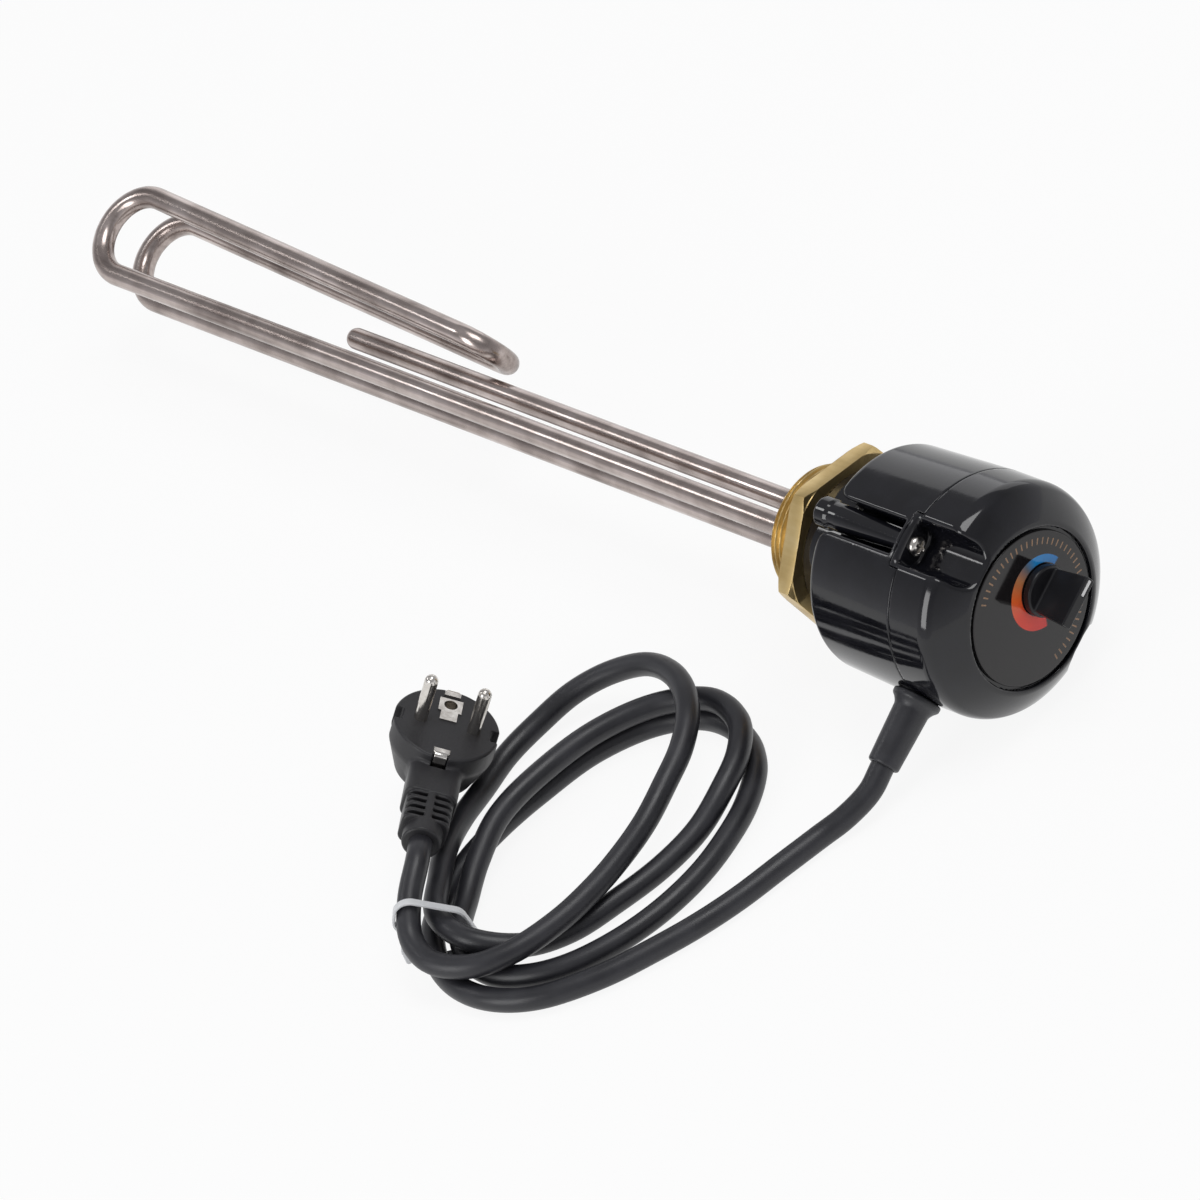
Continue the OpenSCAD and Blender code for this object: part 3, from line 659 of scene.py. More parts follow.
class Finish:
    """A material that is made once and shared by the pieces that have it."""

    made: dict[Any, bpy.types.Material] = {}

    def material(self) -> bpy.types.Material:
        """Gives the Blender material, made on first use.

        Returns:
            The material.
        """
        if self not in Finish.made:
            Finish.made[self] = self.build()
        return Finish.made[self]

    def build(self) -> bpy.types.Material:
        """Makes the material."""
        raise NotImplementedError


@dataclass(frozen=True)
class Metal(Finish):
    """Bare metal with a drifting tone, streaks along one way and a fine grain.

    Colour = mix of three tones by a wide cloud and a stretched streak; roughness follows the same tone.
    """

    name: str
    dark: Colour
    middle: Colour
    light: Colour
    gloss: Pair
    streaks: Place
    grain: float
    depth: float
    clouds: float = 40.0
    streaky: float = 0.6
    tones: Place = (0.3, 0.5, 0.7)

    def build(self) -> bpy.types.Material:
        """Makes the material.

        Returns:
            The material.
        """
        book = MaterialBook(self.name)
        streak = book.noise(book.place(self.streaks), 1.0, detail=4.0, rough=0.6)
        cloud = book.noise(book.place(), self.clouds)
        tone = book.math("ADD", book.times(streak, self.streaky), book.times(cloud, 1.0 - self.streaky))
        colour = book.ramp(tone, list(zip(self.tones, (self.dark, self.middle, self.light))))
        rough = book.spread(tone, self.tones[0], self.tones[2], self.gloss[1], self.gloss[0])
        book.set(Base_Color=colour, Metallic=1.0, Roughness=rough)
        grain = book.noise(book.place(), self.grain, detail=2.0)
        book.bump(book.math("ADD", grain, streak), self.depth)
        return book.made


@dataclass(frozen=True)
class Moulded(Finish):
    """Moulded plastic or rubber: a dark ground, a faint bloom in wide clouds and the mould's fine texture."""

    name: str
    ground: Colour
    bloom: Colour
    gloss: Pair
    grain: float
    depth: float
    specular: float = 0.5
    clouds: float = 60.0
    bloom_range: Pair = (0.42, 0.68)
    gloss_range: Pair = (0.35, 0.65)

    def build(self) -> bpy.types.Material:
        """Makes the material.

        Returns:
            The material.
        """
        book = MaterialBook(self.name)
        cloud = book.noise(book.place(), self.clouds, detail=4.0)
        book.set(
            Base_Color=book.mix(book.spread(cloud, *self.bloom_range), self.ground, self.bloom),
            Roughness=book.spread(cloud, *self.gloss_range, *self.gloss),
            Specular_IOR_Level=self.specular,
        )
        book.bump(book.noise(book.place(), self.grain, detail=2.0), self.depth)
        return book.made


BRASS = Metal(
    "brass_turned", dark=(0.47, 0.33, 0.13), middle=(0.62, 0.46, 0.21), light=(0.74, 0.58, 0.30),
    gloss=(0.3, 0.42), streaks=(90.0, 500.0, 500.0), grain=2600.0, depth=0.000008, clouds=70.0, streaky=0.25)
STAINLESS = Metal(
    "stainless_drawn", dark=(0.17, 0.135, 0.125), middle=(0.42, 0.36, 0.336), light=(0.63, 0.555, 0.53),
    gloss=(0.16, 0.34), streaks=(14.0, 420.0, 420.0), grain=3000.0, depth=0.000003, clouds=52.0, streaky=0.4)
NICKEL = Metal(
    "nickel_plate", dark=(0.46, 0.43, 0.39), middle=(0.68, 0.65, 0.61), light=(0.80, 0.78, 0.74),
    gloss=(0.12, 0.28), streaks=(300.0, 300.0, 300.0), grain=4000.0, depth=0.000006)
COPPER = Metal(
    "copper_drawn", dark=(0.40, 0.17, 0.09), middle=(0.62, 0.29, 0.16), light=(0.75, 0.40, 0.25),
    gloss=(0.25, 0.45), streaks=(20.0, 400.0, 400.0), grain=3000.0, depth=0.00001)
SHELL = Moulded(
    "shell_gloss_black", ground=(0.0055, 0.0056, 0.0076), bloom=(0.009, 0.0092, 0.0125), gloss=(0.06, 0.12),
    grain=420.0, depth=0.000012)
KNOB = Moulded(
    "knob_satin_black", ground=(0.010, 0.010, 0.0118), bloom=(0.017, 0.017, 0.0195), gloss=(0.28, 0.4),
    grain=2600.0, depth=0.000012, specular=0.28)
RUBBER = Moulded(
    "cord_rubber", ground=(0.0175, 0.0178, 0.0215), bloom=(0.027, 0.0272, 0.0325), gloss=(0.34, 0.46),
    grain=1800.0, depth=0.00003)
PLUG = Moulded(
    "plug_rubber", ground=(0.016, 0.0158, 0.0175), bloom=(0.027, 0.0265, 0.0295), gloss=(0.38, 0.54),
    grain=2200.0, depth=0.00004, specular=0.45)
CERAMIC = Moulded(
    "ceramic_cream", ground=(0.68, 0.63, 0.52), bloom=(0.78, 0.74, 0.64), gloss=(0.4, 0.6),
    grain=1500.0, depth=0.00003)
WHITE = Moulded(
    "white_paint", ground=(0.74, 0.74, 0.73), bloom=(0.82, 0.82, 0.81), gloss=(0.3, 0.4),
    grain=1500.0, depth=0.00001)
NYLON = Moulded(
    "nylon_natural", ground=(0.66, 0.67, 0.68), bloom=(0.76, 0.77, 0.77), gloss=(0.3, 0.45),
    grain=900.0, depth=0.00002)


@dataclass(frozen=True)
class DialPrint(Finish):
    """Gloss black plate with a cold-to-hot crescent and plain marks, printed about the knob.

    Seen from the front, the crescent is what lies inside its outer circle and outside its inner circle, each
    given by its height over the dial's middle and its radius. Its hue follows the angle about the knob, in
    turns.
    """

    outer: Pair = (6.2, 13.5)
    inner: Pair = (7.45, 9.55)
    knob_y: float = KNOB_Y
    arc: Pair = (0.25, 0.89)
    arc_blur: float = 0.005
    blur: float = 0.12
    marks: Pair = (22.6, 25.0)
    marks_blur: float = 0.1
    marks_step: float = 6.0
    mark_half: Pair = (0.11, 0.02)  # half-width and blur of a mark, in steps
    marks_end: Pair = (0.42, 0.3)  # how far down the ring goes, in radii, and its blur
    ink: Colour = (0.30, 0.17, 0.09)
    ground: tuple[Colour, Colour] = ((0.008, 0.0070, 0.0074), (0.012, 0.0104, 0.0108))
    clouds: float = 90.0
    cloud_range: Pair = (0.3, 0.7)
    gloss: Pair = (0.05, 0.10)
    specular: float = 0.47
    hues: tuple[tuple[float, Colour], ...] = (
        (0.25, (0.01, 0.20, 0.55)), (0.40, (0.01, 0.27, 0.66)), (0.46, (0.13, 0.15, 0.18)),
        (0.53, (0.50, 0.20, 0.08)), (0.62, (0.84, 0.14, 0.03)), (0.72, (0.82, 0.05, 0.018)),
        (0.88, (0.74, 0.035, 0.028)))

    def ring(self, book: NodeBook, up: Socket, side: Socket, circle: Pair) -> Socket:
        """Distance outside a circle on the dial's upright: sqrt((up - height)^2 + side^2) - radius.

        Args:
            book: where the nodes are written.
            up: height over the dial's middle.
            side: distance to the right of it.
            circle: the circle's height and radius.

        Returns:
            The distance in millimetres.
        """
        dy = book.math("SUBTRACT", up, circle[0])
        far = book.math("SQRT", book.math("ADD", book.times(dy, dy), book.times(side, side)))
        return book.math("SUBTRACT", far, circle[1])

    def crescent(self, book: NodeBook, up: Socket, side: Socket, turn: Socket) -> Socket:
        """Where the crescent lies.

        Args:
            book: where the nodes are written.
            up: height over the dial's middle.
            side: distance to the right of it.
            turn: angle about the knob, in turns.

        Returns:
            1 on the crescent, 0 beside it.
        """
        inside = book.step(self.ring(book, up, side, self.outer), 0.0, self.blur, falls=True)
        outside = book.step(self.ring(book, up, side, self.inner), 0.0, self.blur)
        begin = book.step(turn, self.arc[0], self.arc_blur)
        return book.times(inside, outside, begin, book.step(turn, self.arc[1], self.arc_blur, falls=True))

    def ticks(self, book: NodeBook, up: Socket, side: Socket) -> Socket:
        """Where the marks lie: short lines at even angles, in a ring that is open at the bottom.

        Args:
            book: where the nodes are written.
            up: height over the dial's middle.
            side: distance to the right of it.

        Returns:
            1 on a mark, 0 beside it.
        """
        around = book.math("ADD", book.math("ARCTAN2", up, side), 2 * math.pi)
        spin = book.math("FRACT", book.times(around, 180 / math.pi / self.marks_step))
        tick = book.step(book.math("ABSOLUTE", book.math("SUBTRACT", spin, 0.5)), *self.mark_half, falls=True)
        far = self.ring(book, up, side, (0.0, 0.0))
        begin = book.step(far, self.marks[0], self.marks_blur)
        end = book.step(far, self.marks[1], self.marks_blur, falls=True)
        upper = book.step(book.math("ADD", up, book.times(far, self.marks_end[0])), 0.0, self.marks_end[1])
        return book.times(tick, begin, end, upper)

    def build(self) -> bpy.types.Material:
        """Makes the material.

        Returns:
            The material.
        """
        book = MaterialBook("dial_print")
        parts = book.split(book.place((1 / MM, 1 / MM, 1 / MM), turn=-CLOCKING))
        up, side = parts["Y"], book.times(parts["Z"], -1.0)
        turn = book.math("ARCTAN2", book.math("SUBTRACT", up, self.knob_y), side)
        turn = book.math("FRACT", book.math("DIVIDE", book.math("ADD", turn, 2 * math.pi), 2 * math.pi))
        cloud = book.noise(book.place(), self.clouds)
        colour = book.mix(cloud, *self.ground)
        colour = book.mix(self.crescent(book, up, side, turn), colour, book.ramp(turn, self.hues))
        colour = book.mix(self.ticks(book, up, side), colour, self.ink)
        rough = book.spread(cloud, *self.cloud_range, *self.gloss)
        book.set(Base_Color=colour, Roughness=rough, Specular_IOR_Level=self.specular)
        return book.made


# Pieces


@dataclass
class SupplyCord:
    """Rubber cord: out of the sleeve, over the table, round the coil and up to the plug."""

    diameter: float = 8.5
    sides: int = 20
    steps: int = 8
    sharp: float = 60.0
    start: Place = (63.0, -62.5779, -27.8615)
    start_way: Place = (0.0, -0.913545, -0.406737)
    finish: Place = (-58.3881, -169.4741, -13.9186)
    finish_way: Place = (0.626926, -0.774189, 0.087156)
    lead: float = 10.0
    lay: tuple[Place, ...] = (
        (59.5, -82, -35.5), (55, -92.5, -37.5), (51.5, -109, -37.5), (48, -126, -37.5),
        (43, -142, -37.5), (36, -158, -37.5), (27, -175, -37.5), (14, -191, -37.5), (0, -199.5, -37.5),
        (-16, -202, -37.5), (-32, -198, -37), (-46, -187.5, -36), (-55.5, -172.5, -37),
        (-61, -155.5, -37.5), (-62, -137, -37.5), (-60, -118, -37.5), (-55, -95, -37.5),
        (-43, -75.5, -37.5), (-26, -65, -37.5), (-7, -66, -37.5), (8, -75.5, -37.5), (18, -91, -37.5),
        (23.5, -108, -37.5), (26, -125, -37.5), (25, -143, -37.5), (20.5, -160, -37.5),
        (12.5, -175.5, -37.5), (2, -186, -37.5), (-11, -191.5, -37.5), (-25.5, -190, -37),
        (-38, -181.5, -36), (-46, -169.5, -35.5), (-52.5, -155.5, -32.5), (-57, -138, -29),
        (-57, -117, -28.5), (-52, -93, -28.5), (-40, -73.5, -28.5), (-22.5, -63, -28.5),
        (-5, -66.5, -28.5), (6, -78, -29), (11, -92.5, -31), (12, -109, -35.5), (10, -127, -37.5),
        (6, -146, -37.5), (0, -164, -37.5), (-9, -178.5, -34.5), (-24, -188, -28.5), (-41.5, -185, -27),
        (-53.5, -172, -27.5), (-65.5, -157.5, -30), (-75.5, -142, -34.5), (-81.8, -126, -37.6),
        (-85.5, -109, -37.6), (-84, -93.5, -36), (-78, -79, -32), (-66.5, -68, -27.5),
        (-50, -62.5, -22.5), (-32, -65.5, -19.5), (-17, -75.5, -19.5), (-8.5, -89, -22),
        (-5, -103.5, -25.5), (-1.5, -118.5, -28), (1.5, -134.5, -28.5), (3, -150.5, -28.5),
        (2, -167.5, -28.5), (-3, -184.5, -28.5), (-12.5, -197, -28.5), (-27, -202.5, -27.5),
        (-39.5, -199, -24.5), (-46.5, -189.5, -18))

    def route(self) -> Array:
        """The cord's centre line, a smooth curve through the points of its lay.

        Returns:
            Places in millimetres, from the sleeve to the plug.
        """
        start, finish = np.array(self.start), np.array(self.finish)
        points = np.concatenate([
            [start, start + self.lead * np.array(self.start_way)], np.array(self.lay, dtype=float),
            [finish + self.lead * np.array(self.finish_way), finish]])
        return smooth_curve(points, self.steps)

    def make(self, on_cord: Sequence[bpy.types.Object]) -> bpy.types.Object:
        """Args:
            on_cord: the pieces that lie on the cord; not used.

        Returns:
            The piece.
        """
        path = self.route()
        tube = Surface.from_grid(sweep(path, self.diameter / 2, self.sides, AXIS_Z))
        piece = fit(tube, "supply_cord", RUBBER, ["power_cord"], sharp=self.sharp)
        return piece


@dataclass
class HeatingRods:
    """The folded element tube and the sensor pocket, with their brazed rings in the screw plug."""

    tube_r: float = 4.1
    leg_y: float = -6.0
    leg_z: float = 12.0
    front: float = 12.0
    far: float = -372.0
    fold_r: float = 16.0
    back_l: float = 171.0
    tilt: float = math.radians(2.684)
    reference: Place = (1.0, 1.0, 1.5)
    sides: int = 28
    leg_steps: int = 40
    bend_steps: int = 49
    back_steps: int = 24
    near_steps: int = 21
    pocket_r: float = 4.0
    pocket_y: float = 5.3
    pocket_end: float = -257.0
    pocket_front: float = 8.5
    pocket_steps: int = 30
    dome_end: float = 1.5
    dome_steps: int = 12
    seat: float = -13.0
    braze_rise: float = 1.3
    braze_spread: float = 1.4
    braze_bury: float = 0.3
    braze_steps: int = 8
    braze_sides: int = 32

    def half(self) -> Array:
        """Centre line from one cold end to the middle of the near bend.

        A straight leg, then the far bend centre + r*(-sin a, -cos a), then the slanted return, then a quarter
        of the near bend, end + r*(sin b along the return, cos b across).

        Returns:
            Places in millimetres, with the dial upright.
        """
        leg_x = np.linspace(self.front, self.far, self.leg_steps)
        leg = np.stack(np.broadcast_arrays(leg_x, self.leg_y, self.leg_z), axis=-1)
        a = np.linspace(0.0, math.pi + self.tilt, self.bend_steps)[1:]
        bend_y = self.leg_y + self.fold_r - self.fold_r * np.cos(a)
        bend = np.stack(np.broadcast_arrays(self.far - self.fold_r * np.sin(a), bend_y, self.leg_z), axis=-1)
        way = np.array([math.cos(self.tilt), -math.sin(self.tilt), 0.0])
        back = bend[-1] + np.linspace(0.0, self.back_l, self.back_steps)[1:, None] * way
        b = np.linspace(0.0, math.pi / 2, self.near_steps)[1:, None]
        end = back[-1] * np.array([1.0, 1.0, 0.0])
        near = end + self.leg_z * (np.sin(b) * way + np.cos(b) * np.array(AXIS_Z))
        return np.concatenate([leg, bend, back, near])

    def pocket(self) -> Surface:
        """The pocket: a straight tube and the dome end - r*sin a at the radius r*cos a.

        Returns:
            The closed pocket, with the dial upright.
        """
        a = np.linspace(0.0, self.dome_end, self.dome_steps)
        dome = np.stack([self.pocket_end - self.pocket_r * np.sin(a), self.pocket_r * np.cos(a)], axis=-1)
        run = np.linspace(self.pocket_front, self.pocket_end, self.pocket_steps)
        profile = np.concatenate([np.stack(np.broadcast_arrays(run, self.pocket_r), axis=-1), dome[1:]])
        return Surface.from_grid(revolve(profile, (0, self.pocket_y, 0), AXIS_X, self.sides))

    def braze(self, y: float, z: float, r: float) -> Surface:
        """A fillet of braze: a hollow quarter curve from the plug's end face to the tube, closed inside both.

        Args:
            y: where the tube's axis lies.
            z: the same, across.
            r: the tube's radius.

        Returns:
            The closed ring, with the dial upright.
        """
        t = np.linspace(0.0, math.pi / 2, self.braze_steps)
        top, foot = self.seat - self.braze_rise, r + self.braze_spread
        x, radius = self.seat - self.braze_rise * (1 - np.cos(t)), foot - self.braze_spread * np.sin(t)
        curve = np.stack([x, radius], axis=-1)
        deep, inner = self.seat + self.braze_bury, r - self.braze_bury
        profile = np.concatenate([curve, [[top, inner], [deep, inner], [deep, foot]]])
        return Surface.from_grid(revolve(profile, (0, y, z), AXIS_X, self.braze_sides), loop_rows=True)

    def make(self) -> None:
        """Builds the element, the pocket and the brazed rings."""
        half = self.half()
        path = np.concatenate([half, (half * np.array([1.0, 1.0, -1.0]))[-2::-1]])
        tube = Surface.from_grid(sweep(path, self.tube_r, self.sides, self.reference))
        fit(tube.clocked(), "element_tube", STAINLESS, ["heating_element"])
        fit(self.pocket().clocked(), "pocket_tube", STAINLESS, ["sensor_pocket"])
        rings = self.braze(self.leg_y, self.leg_z, self.tube_r)
        rings = rings + self.braze(self.leg_y, -self.leg_z, self.tube_r)
        rings = rings + self.braze(self.pocket_y, 0.0, self.pocket_r)
        fit(rings.clocked(), "braze_rings", BRASS)


@dataclass
class ScrewPlug:
    """Brass hexagon with chamfered corners and a right-hand pipe thread behind it.

    Each of bevel_rows holds what is taken off the radius and added to the depth, both in bevels, and the
    share of the chamfer's depth: two rows on the end face's rim and two on the flat's.
    """

    flats: float = 60.0
    height: float = 7.0
    turn: float = math.radians(3.6)
    chamfer: float = 1.2
    corner_cut: float = 0.2
    bevel: float = 0.18
    bevel_rows: tuple[Place, ...] = ((1.0, 0.0, 0.0), (0.0, 0.5, 0.3), (0.3, 0.4, 1.0), (0.0, 1.4, 1.0))
    flat_steps: int = 24
    thread_r: float = 23.9
    thread_l: float = 13.0
    pitch: float = 2.309
    depth: float = 1.45
    thread_flat: float = 0.125
    thread_round: float = 0.35
    lead_in: float = 1.1
    groove: float = 1.0
    bury: float = 0.4
    rows: int = 128
    sides: int = 160
    sharp: float = 28.0

    def hexagon(self) -> Surface:
        """The hexagon: radius flats/2/cos(t) on each flat, cut by a chamfer cone.

        Where the flat's radius R is over the cone's ring Rc, the cone meets it at the depth (R - Rc)/2.

        Returns:
            The closed hexagon, with the dial upright.
        """
        sixth = math.pi / 3
        one = np.linspace(-0.5, 0.5, self.flat_steps + 1)[:-1] * sixth
        local = np.concatenate([one + k * sixth for k in range(6)])
        off = (local + sixth / 2) % sixth - sixth / 2
        corner = self.flats / 2 / math.cos(sixth / 2)
        side = np.minimum(self.flats / 2 / np.cos(off), corner - self.corner_cut)
        ring = corner - 2 * self.chamfer
        low = np.maximum(0.0, (side - ring) / 2)
        flat = np.minimum(side, ring)
        inset, drop, share = np.array(self.bevel_rows).T[:, :, None]
        radius = np.concatenate([flat[None] / 2, np.stack([flat, flat, side, side]) - self.bevel * inset])
        depth = np.concatenate([np.zeros((1, len(low))), self.bevel * drop + share * low])
        radius = np.concatenate([radius, radius[::-1]])
        x = np.concatenate([depth, self.height - depth[::-1]])
        angle = local + sixth / 2 + self.turn
        grid = np.stack([x, radius * np.sin(angle), radius * np.cos(angle)], axis=-1)
        return Surface.from_grid(grid)

    def spigot(self) -> Surface:
        """The thread: r = crest - depth*wave(x/pitch + t/2pi), wave a V with flats and softened bends.

        The crest falls off at the far end, and a groove at the root's radius runs under the hexagon.

        Returns:
            The closed thread, with the dial upright.
        """
        x = np.linspace(-self.thread_l, self.bury, self.rows)[:, None]
        t = np.linspace(0.0, 2 * math.pi, self.sides + 1)[:-1]
        phase = (x / self.pitch + t / (2 * math.pi)) % 1.0
        wave = np.clip((1 + 2 * self.thread_flat) * np.abs(2 * phase - 1) - self.thread_flat, 0.0, 1.0)
        wave = wave * wave * (3 - 2 * wave) * self.thread_round + wave * (1 - self.thread_round)
        crest = np.minimum(self.thread_r, self.thread_r - self.lead_in + x + self.thread_l)
        radius = np.minimum(crest, self.thread_r - self.depth * wave)
        radius = np.where(x > -self.groove, np.minimum(radius, self.thread_r - self.depth), radius)
        grid = np.stack([x * np.ones_like(t), radius * np.sin(t), radius * np.cos(t)], axis=-1)
        return Surface.from_grid(grid)

    def make(self) -> None:
        """Builds the plug."""
        shape = (self.hexagon() + self.spigot()).clocked()
        fit(shape, "hexagon_and_thread", BRASS, ["screw_plug"], sharp=self.sharp)


@dataclass
class WellScrew:
    """Pan head screw with a cross recess, in a well of the cover."""

    seat: float
    head_r: float = 3.5
    head_h: float = 2.6
    hub: float = 0.12
    dome: Pair = (0.86, 3.2)  # k and n
    shank: Pair = (0.5, 15.0)  # radius in head radii, and length
    arm: Pair = (0.62, 0.22)  # half-width of the cross's arms, and of that the slope
    reach: Pair = (2.25, 0.35)  # length of the arms, and of that the slope
    recess: float = 1.25
    turn: float = 0.35
    rings: int = 22
    sides: int = 72

    def surface(self, middle: float) -> Surface:
        """The screw: a dome h*sqrt(1 - k*r^n) over a polar grid, sunk where either arm of the cross lies.

        Args:
            middle: where its axis lies along z.

        Returns:
            The closed screw, with the dial upright.
        """
        r = np.concatenate([np.linspace(self.hub, 1.0, self.rings), [1.0, self.shank[0], self.shank[0]]])
        t = np.linspace(0.0, 2 * math.pi, self.sides + 1)[:-1]
        radius = (self.head_r * r)[:, None] * np.ones_like(t)
        rise = self.head_h * np.sqrt(np.clip(1 - self.dome[0] * np.minimum(r, 1.0) ** self.dome[1], 0.0, 1.0))
        rise[-3:] = 0.0, 0.0, -self.shank[1]
        y, z = radius * np.cos(t + self.turn), radius * np.sin(t + self.turn)
        arm = np.minimum(np.abs(y), np.abs(z))
        sunk = np.clip((self.arm[0] - arm) / self.arm[1], 0.0, 1.0)
        sunk = sunk * np.clip((self.reach[0] - radius) / self.reach[1], 0.0, 1.0)
        sunk[-3:] = 0.0
        x = self.seat + rise[:, None] - self.recess * sunk
        return Surface.from_grid(np.stack([x, y, z + middle], axis=-1))


@dataclass
class Head:
    """Moulded head: shell and cover, wells with their screws, sleeve and dial plate.

    Its pieces are drawn with the dial upright: x along the axis, y up and z across, towards the wells.
    """

    pitch: float = 0.7
    margin: float = 1.0
    wall: float = 2.5
    lining: float = 2.2
    shell_r: float = 42.0
    rim_r: float = 40.2
    rim_x: float = 23.0
    rim_fillet: float = 2.6
    split_x: float = 64.2
    seam: float = 0.5
    neck_r: float = 27.0
    neck_x: float = 7.0
    neck_floor: float = 3.0
    neck_fillet: float = 0.8
    bore_lap: float = 0.1
    channel_half: float = 6.2
    channel_floor: float = 29.0
    channel_end: float = 58.2
    channel_rounds: Pair = (1.0, 0.8)  # at the floor and at the end
    mouth_r: float = 6.0
    edge: float = 1.5
    boss_r: float = 5.0
    boss_tip_r: float = 3.4
    boss_x: float = 18.0
    boss_edge: float = 1.0
    boss_collar: Pair = (0.6, 1.5)  # swell and length
    boss_bury: float = 0.5
    boss_fillet: float = 0.7
    web_half: float = 2.0
    web_bury: float = 1.0
    web_fillet: float = 0.8
    well_half: float = 8.0
    well_in: float = 30.3
    well_corner: float = 5.5
    well_seat: float = 60.4
    well_play: float = 0.2
    well_floor_r: float = 1.4
    well_lips: Pair = (1.5, 2.8)  # radius on the front and on the side
    lips_fade: Pair = (84.0, 5.0)  # where the lip starts to widen, and over what length
    front_x: float = 90.8
    front_wall: float = 86.3
    front_rim_r: float = 30.0
    front_edge: float = 0.5
    shoulder: Pair = (40.47, 82.8)  # radius and place of the front's outer end
    swell: float = 0.5
    crease: float = 2.0
    recess_r: float = 28.8
    recess_edge: float = 0.7
    knob_y: float = KNOB_Y
    shaft_hole_r: float = 3.5
    screw_z: float = 35.5
    screw_seat: float = 62.6
    screw_sharp: float = 40.0
    sleeve_x: float = 63.0
    sleeve_hole_r: float = 6.9
    sleeve_edge: float = 0.7
    sleeve_sides: int = 48
    sleeve_rows: tuple[Pair, ...] = (  # distance from the axis, and radius
        (36.0, 4.35), (36.0, 8.75), (38.0, 8.75), (38.0, 6.9), (42.05, 6.9), (42.05, 8.75),
        (44.05, 8.75), (45.45, 7.3), (47.05, 6.4), (67.9, 5.7), (68.5, 5.1), (68.5, 4.35))
    dial_x: float = 88.8
    dial_t: float = 1.5
    dial_r: float = 27.5
    dial_hub: float = 2.0
    dial_edge: float = 0.6
    dial_sides: int = 160

    def well(self, y: Array, z: Array) -> Array:
        """Distance outside the wells' outline: a slot from each side with two rounded inner corners."""
        return round_max(np.abs(y) - self.well_half, self.well_in - np.abs(z), self.well_corner)

    def sleeve_hole(self, x: Array, y: Array, z: Array) -> Array:
        """Distance outside the round hole for the sleeve, below the dial."""
        return np.maximum(np.hypot(x - self.sleeve_x, z) - self.sleeve_hole_r, y)

    def channel(self, x: Array, off: Array, side: Array) -> Array:
        """The channel on each side, as a distance field: a slot whose mouth widens on a quarter circle.

        Args:
            x: places along the axis.
            off: distances from the channels' middle plane.
            side: distances across, to either side.

        Returns:
            Distance outside the channels.
        """
        bend_x, bend_y = self.rim_x + self.mouth_r, self.channel_half + self.mouth_r
        flare = self.mouth_r - np.hypot(bend_x - x, bend_y - off)
        across = np.where((x < bend_x) & (off < bend_y), flare, off - self.channel_half)
        slot = round_max(across, self.channel_floor - side, self.channel_rounds[0])
        return round_max(slot, x - self.channel_end, self.channel_rounds[1])

    def bosses(self, x: Array, off: Array, side: Array) -> Array:
        """The screw bosses, as a distance field: tapered rods with a collar at the open end, on flat webs.

        Args:
            x: places along the axis.
            off: distances from the bosses' middle plane.
            side: distances across, to either side.

        Returns:
            Distance outside the bosses.
        """
        start, end = self.rim_x + self.boss_r, x - self.channel_end - self.boss_bury
        taper = (self.boss_r - self.boss_tip_r) * np.clip((x - start) / (self.channel_end - start), 0.0, 1.0)
        rod = np.hypot(off, side - self.screw_z) - self.boss_r + taper
        wide, long = self.boss_collar
        rod = rod - wide * np.clip((self.rim_x + long - x) / long, 0.0, 1.0)
        rod = np.maximum(round_max(rod, self.boss_x - x, self.boss_edge), end)
        root = self.channel_floor - self.web_bury - side
        web = common(off - self.web_half, side - self.screw_z, root, self.rim_x - x, end)
        return round_min(rod, web, self.web_fillet)

    def rear(self, x: Array, y: Array, z: Array) -> Array:
        """Rear half, as a distance field.

        A drafted drum r < R(x), rounded to the rear face and cut at the split, less a channel on each side,
        plus the bosses and the neck, less the cavity, the neck's bore and the wells' seats.

        Args:
            x: places along the axis.
            y: places up.
            z: places across.

        Returns:
            Distance outside the rear half.
        """
        r, off, side = np.hypot(y, z), np.abs(y), np.abs(z)
        wall_x = self.rim_x + self.wall
        draft = (self.shell_r - self.rim_r) * (x - self.rim_x) / (self.split_x - self.rim_x)
        drum, channel = r - self.rim_r - draft, self.channel(x, off, side)
        body = round_max(drum, self.rim_x - x, self.rim_fillet)
        body = round_max(body, x - self.split_x, self.seam)
        body = round_max(body, -channel, self.edge)
        body = round_min(body, self.bosses(x, off, side), self.boss_fillet)
        neck = common(r - self.neck_r, self.neck_x - x, x - wall_x)
        body = round_min(body, neck, self.neck_fillet)
        cavity = common(drum + self.wall, wall_x - x, self.lining - channel)
        floor = self.neck_x + self.neck_floor - x
        bore = common(r - self.neck_r + self.wall, floor, x - wall_x - self.bore_lap)
        seat = np.maximum(self.well(y, z) - self.lining - self.well_play, self.well_seat - x)
        return np.maximum(body, -joined(cavity, bore, seat, self.sleeve_hole(x, y, z)))

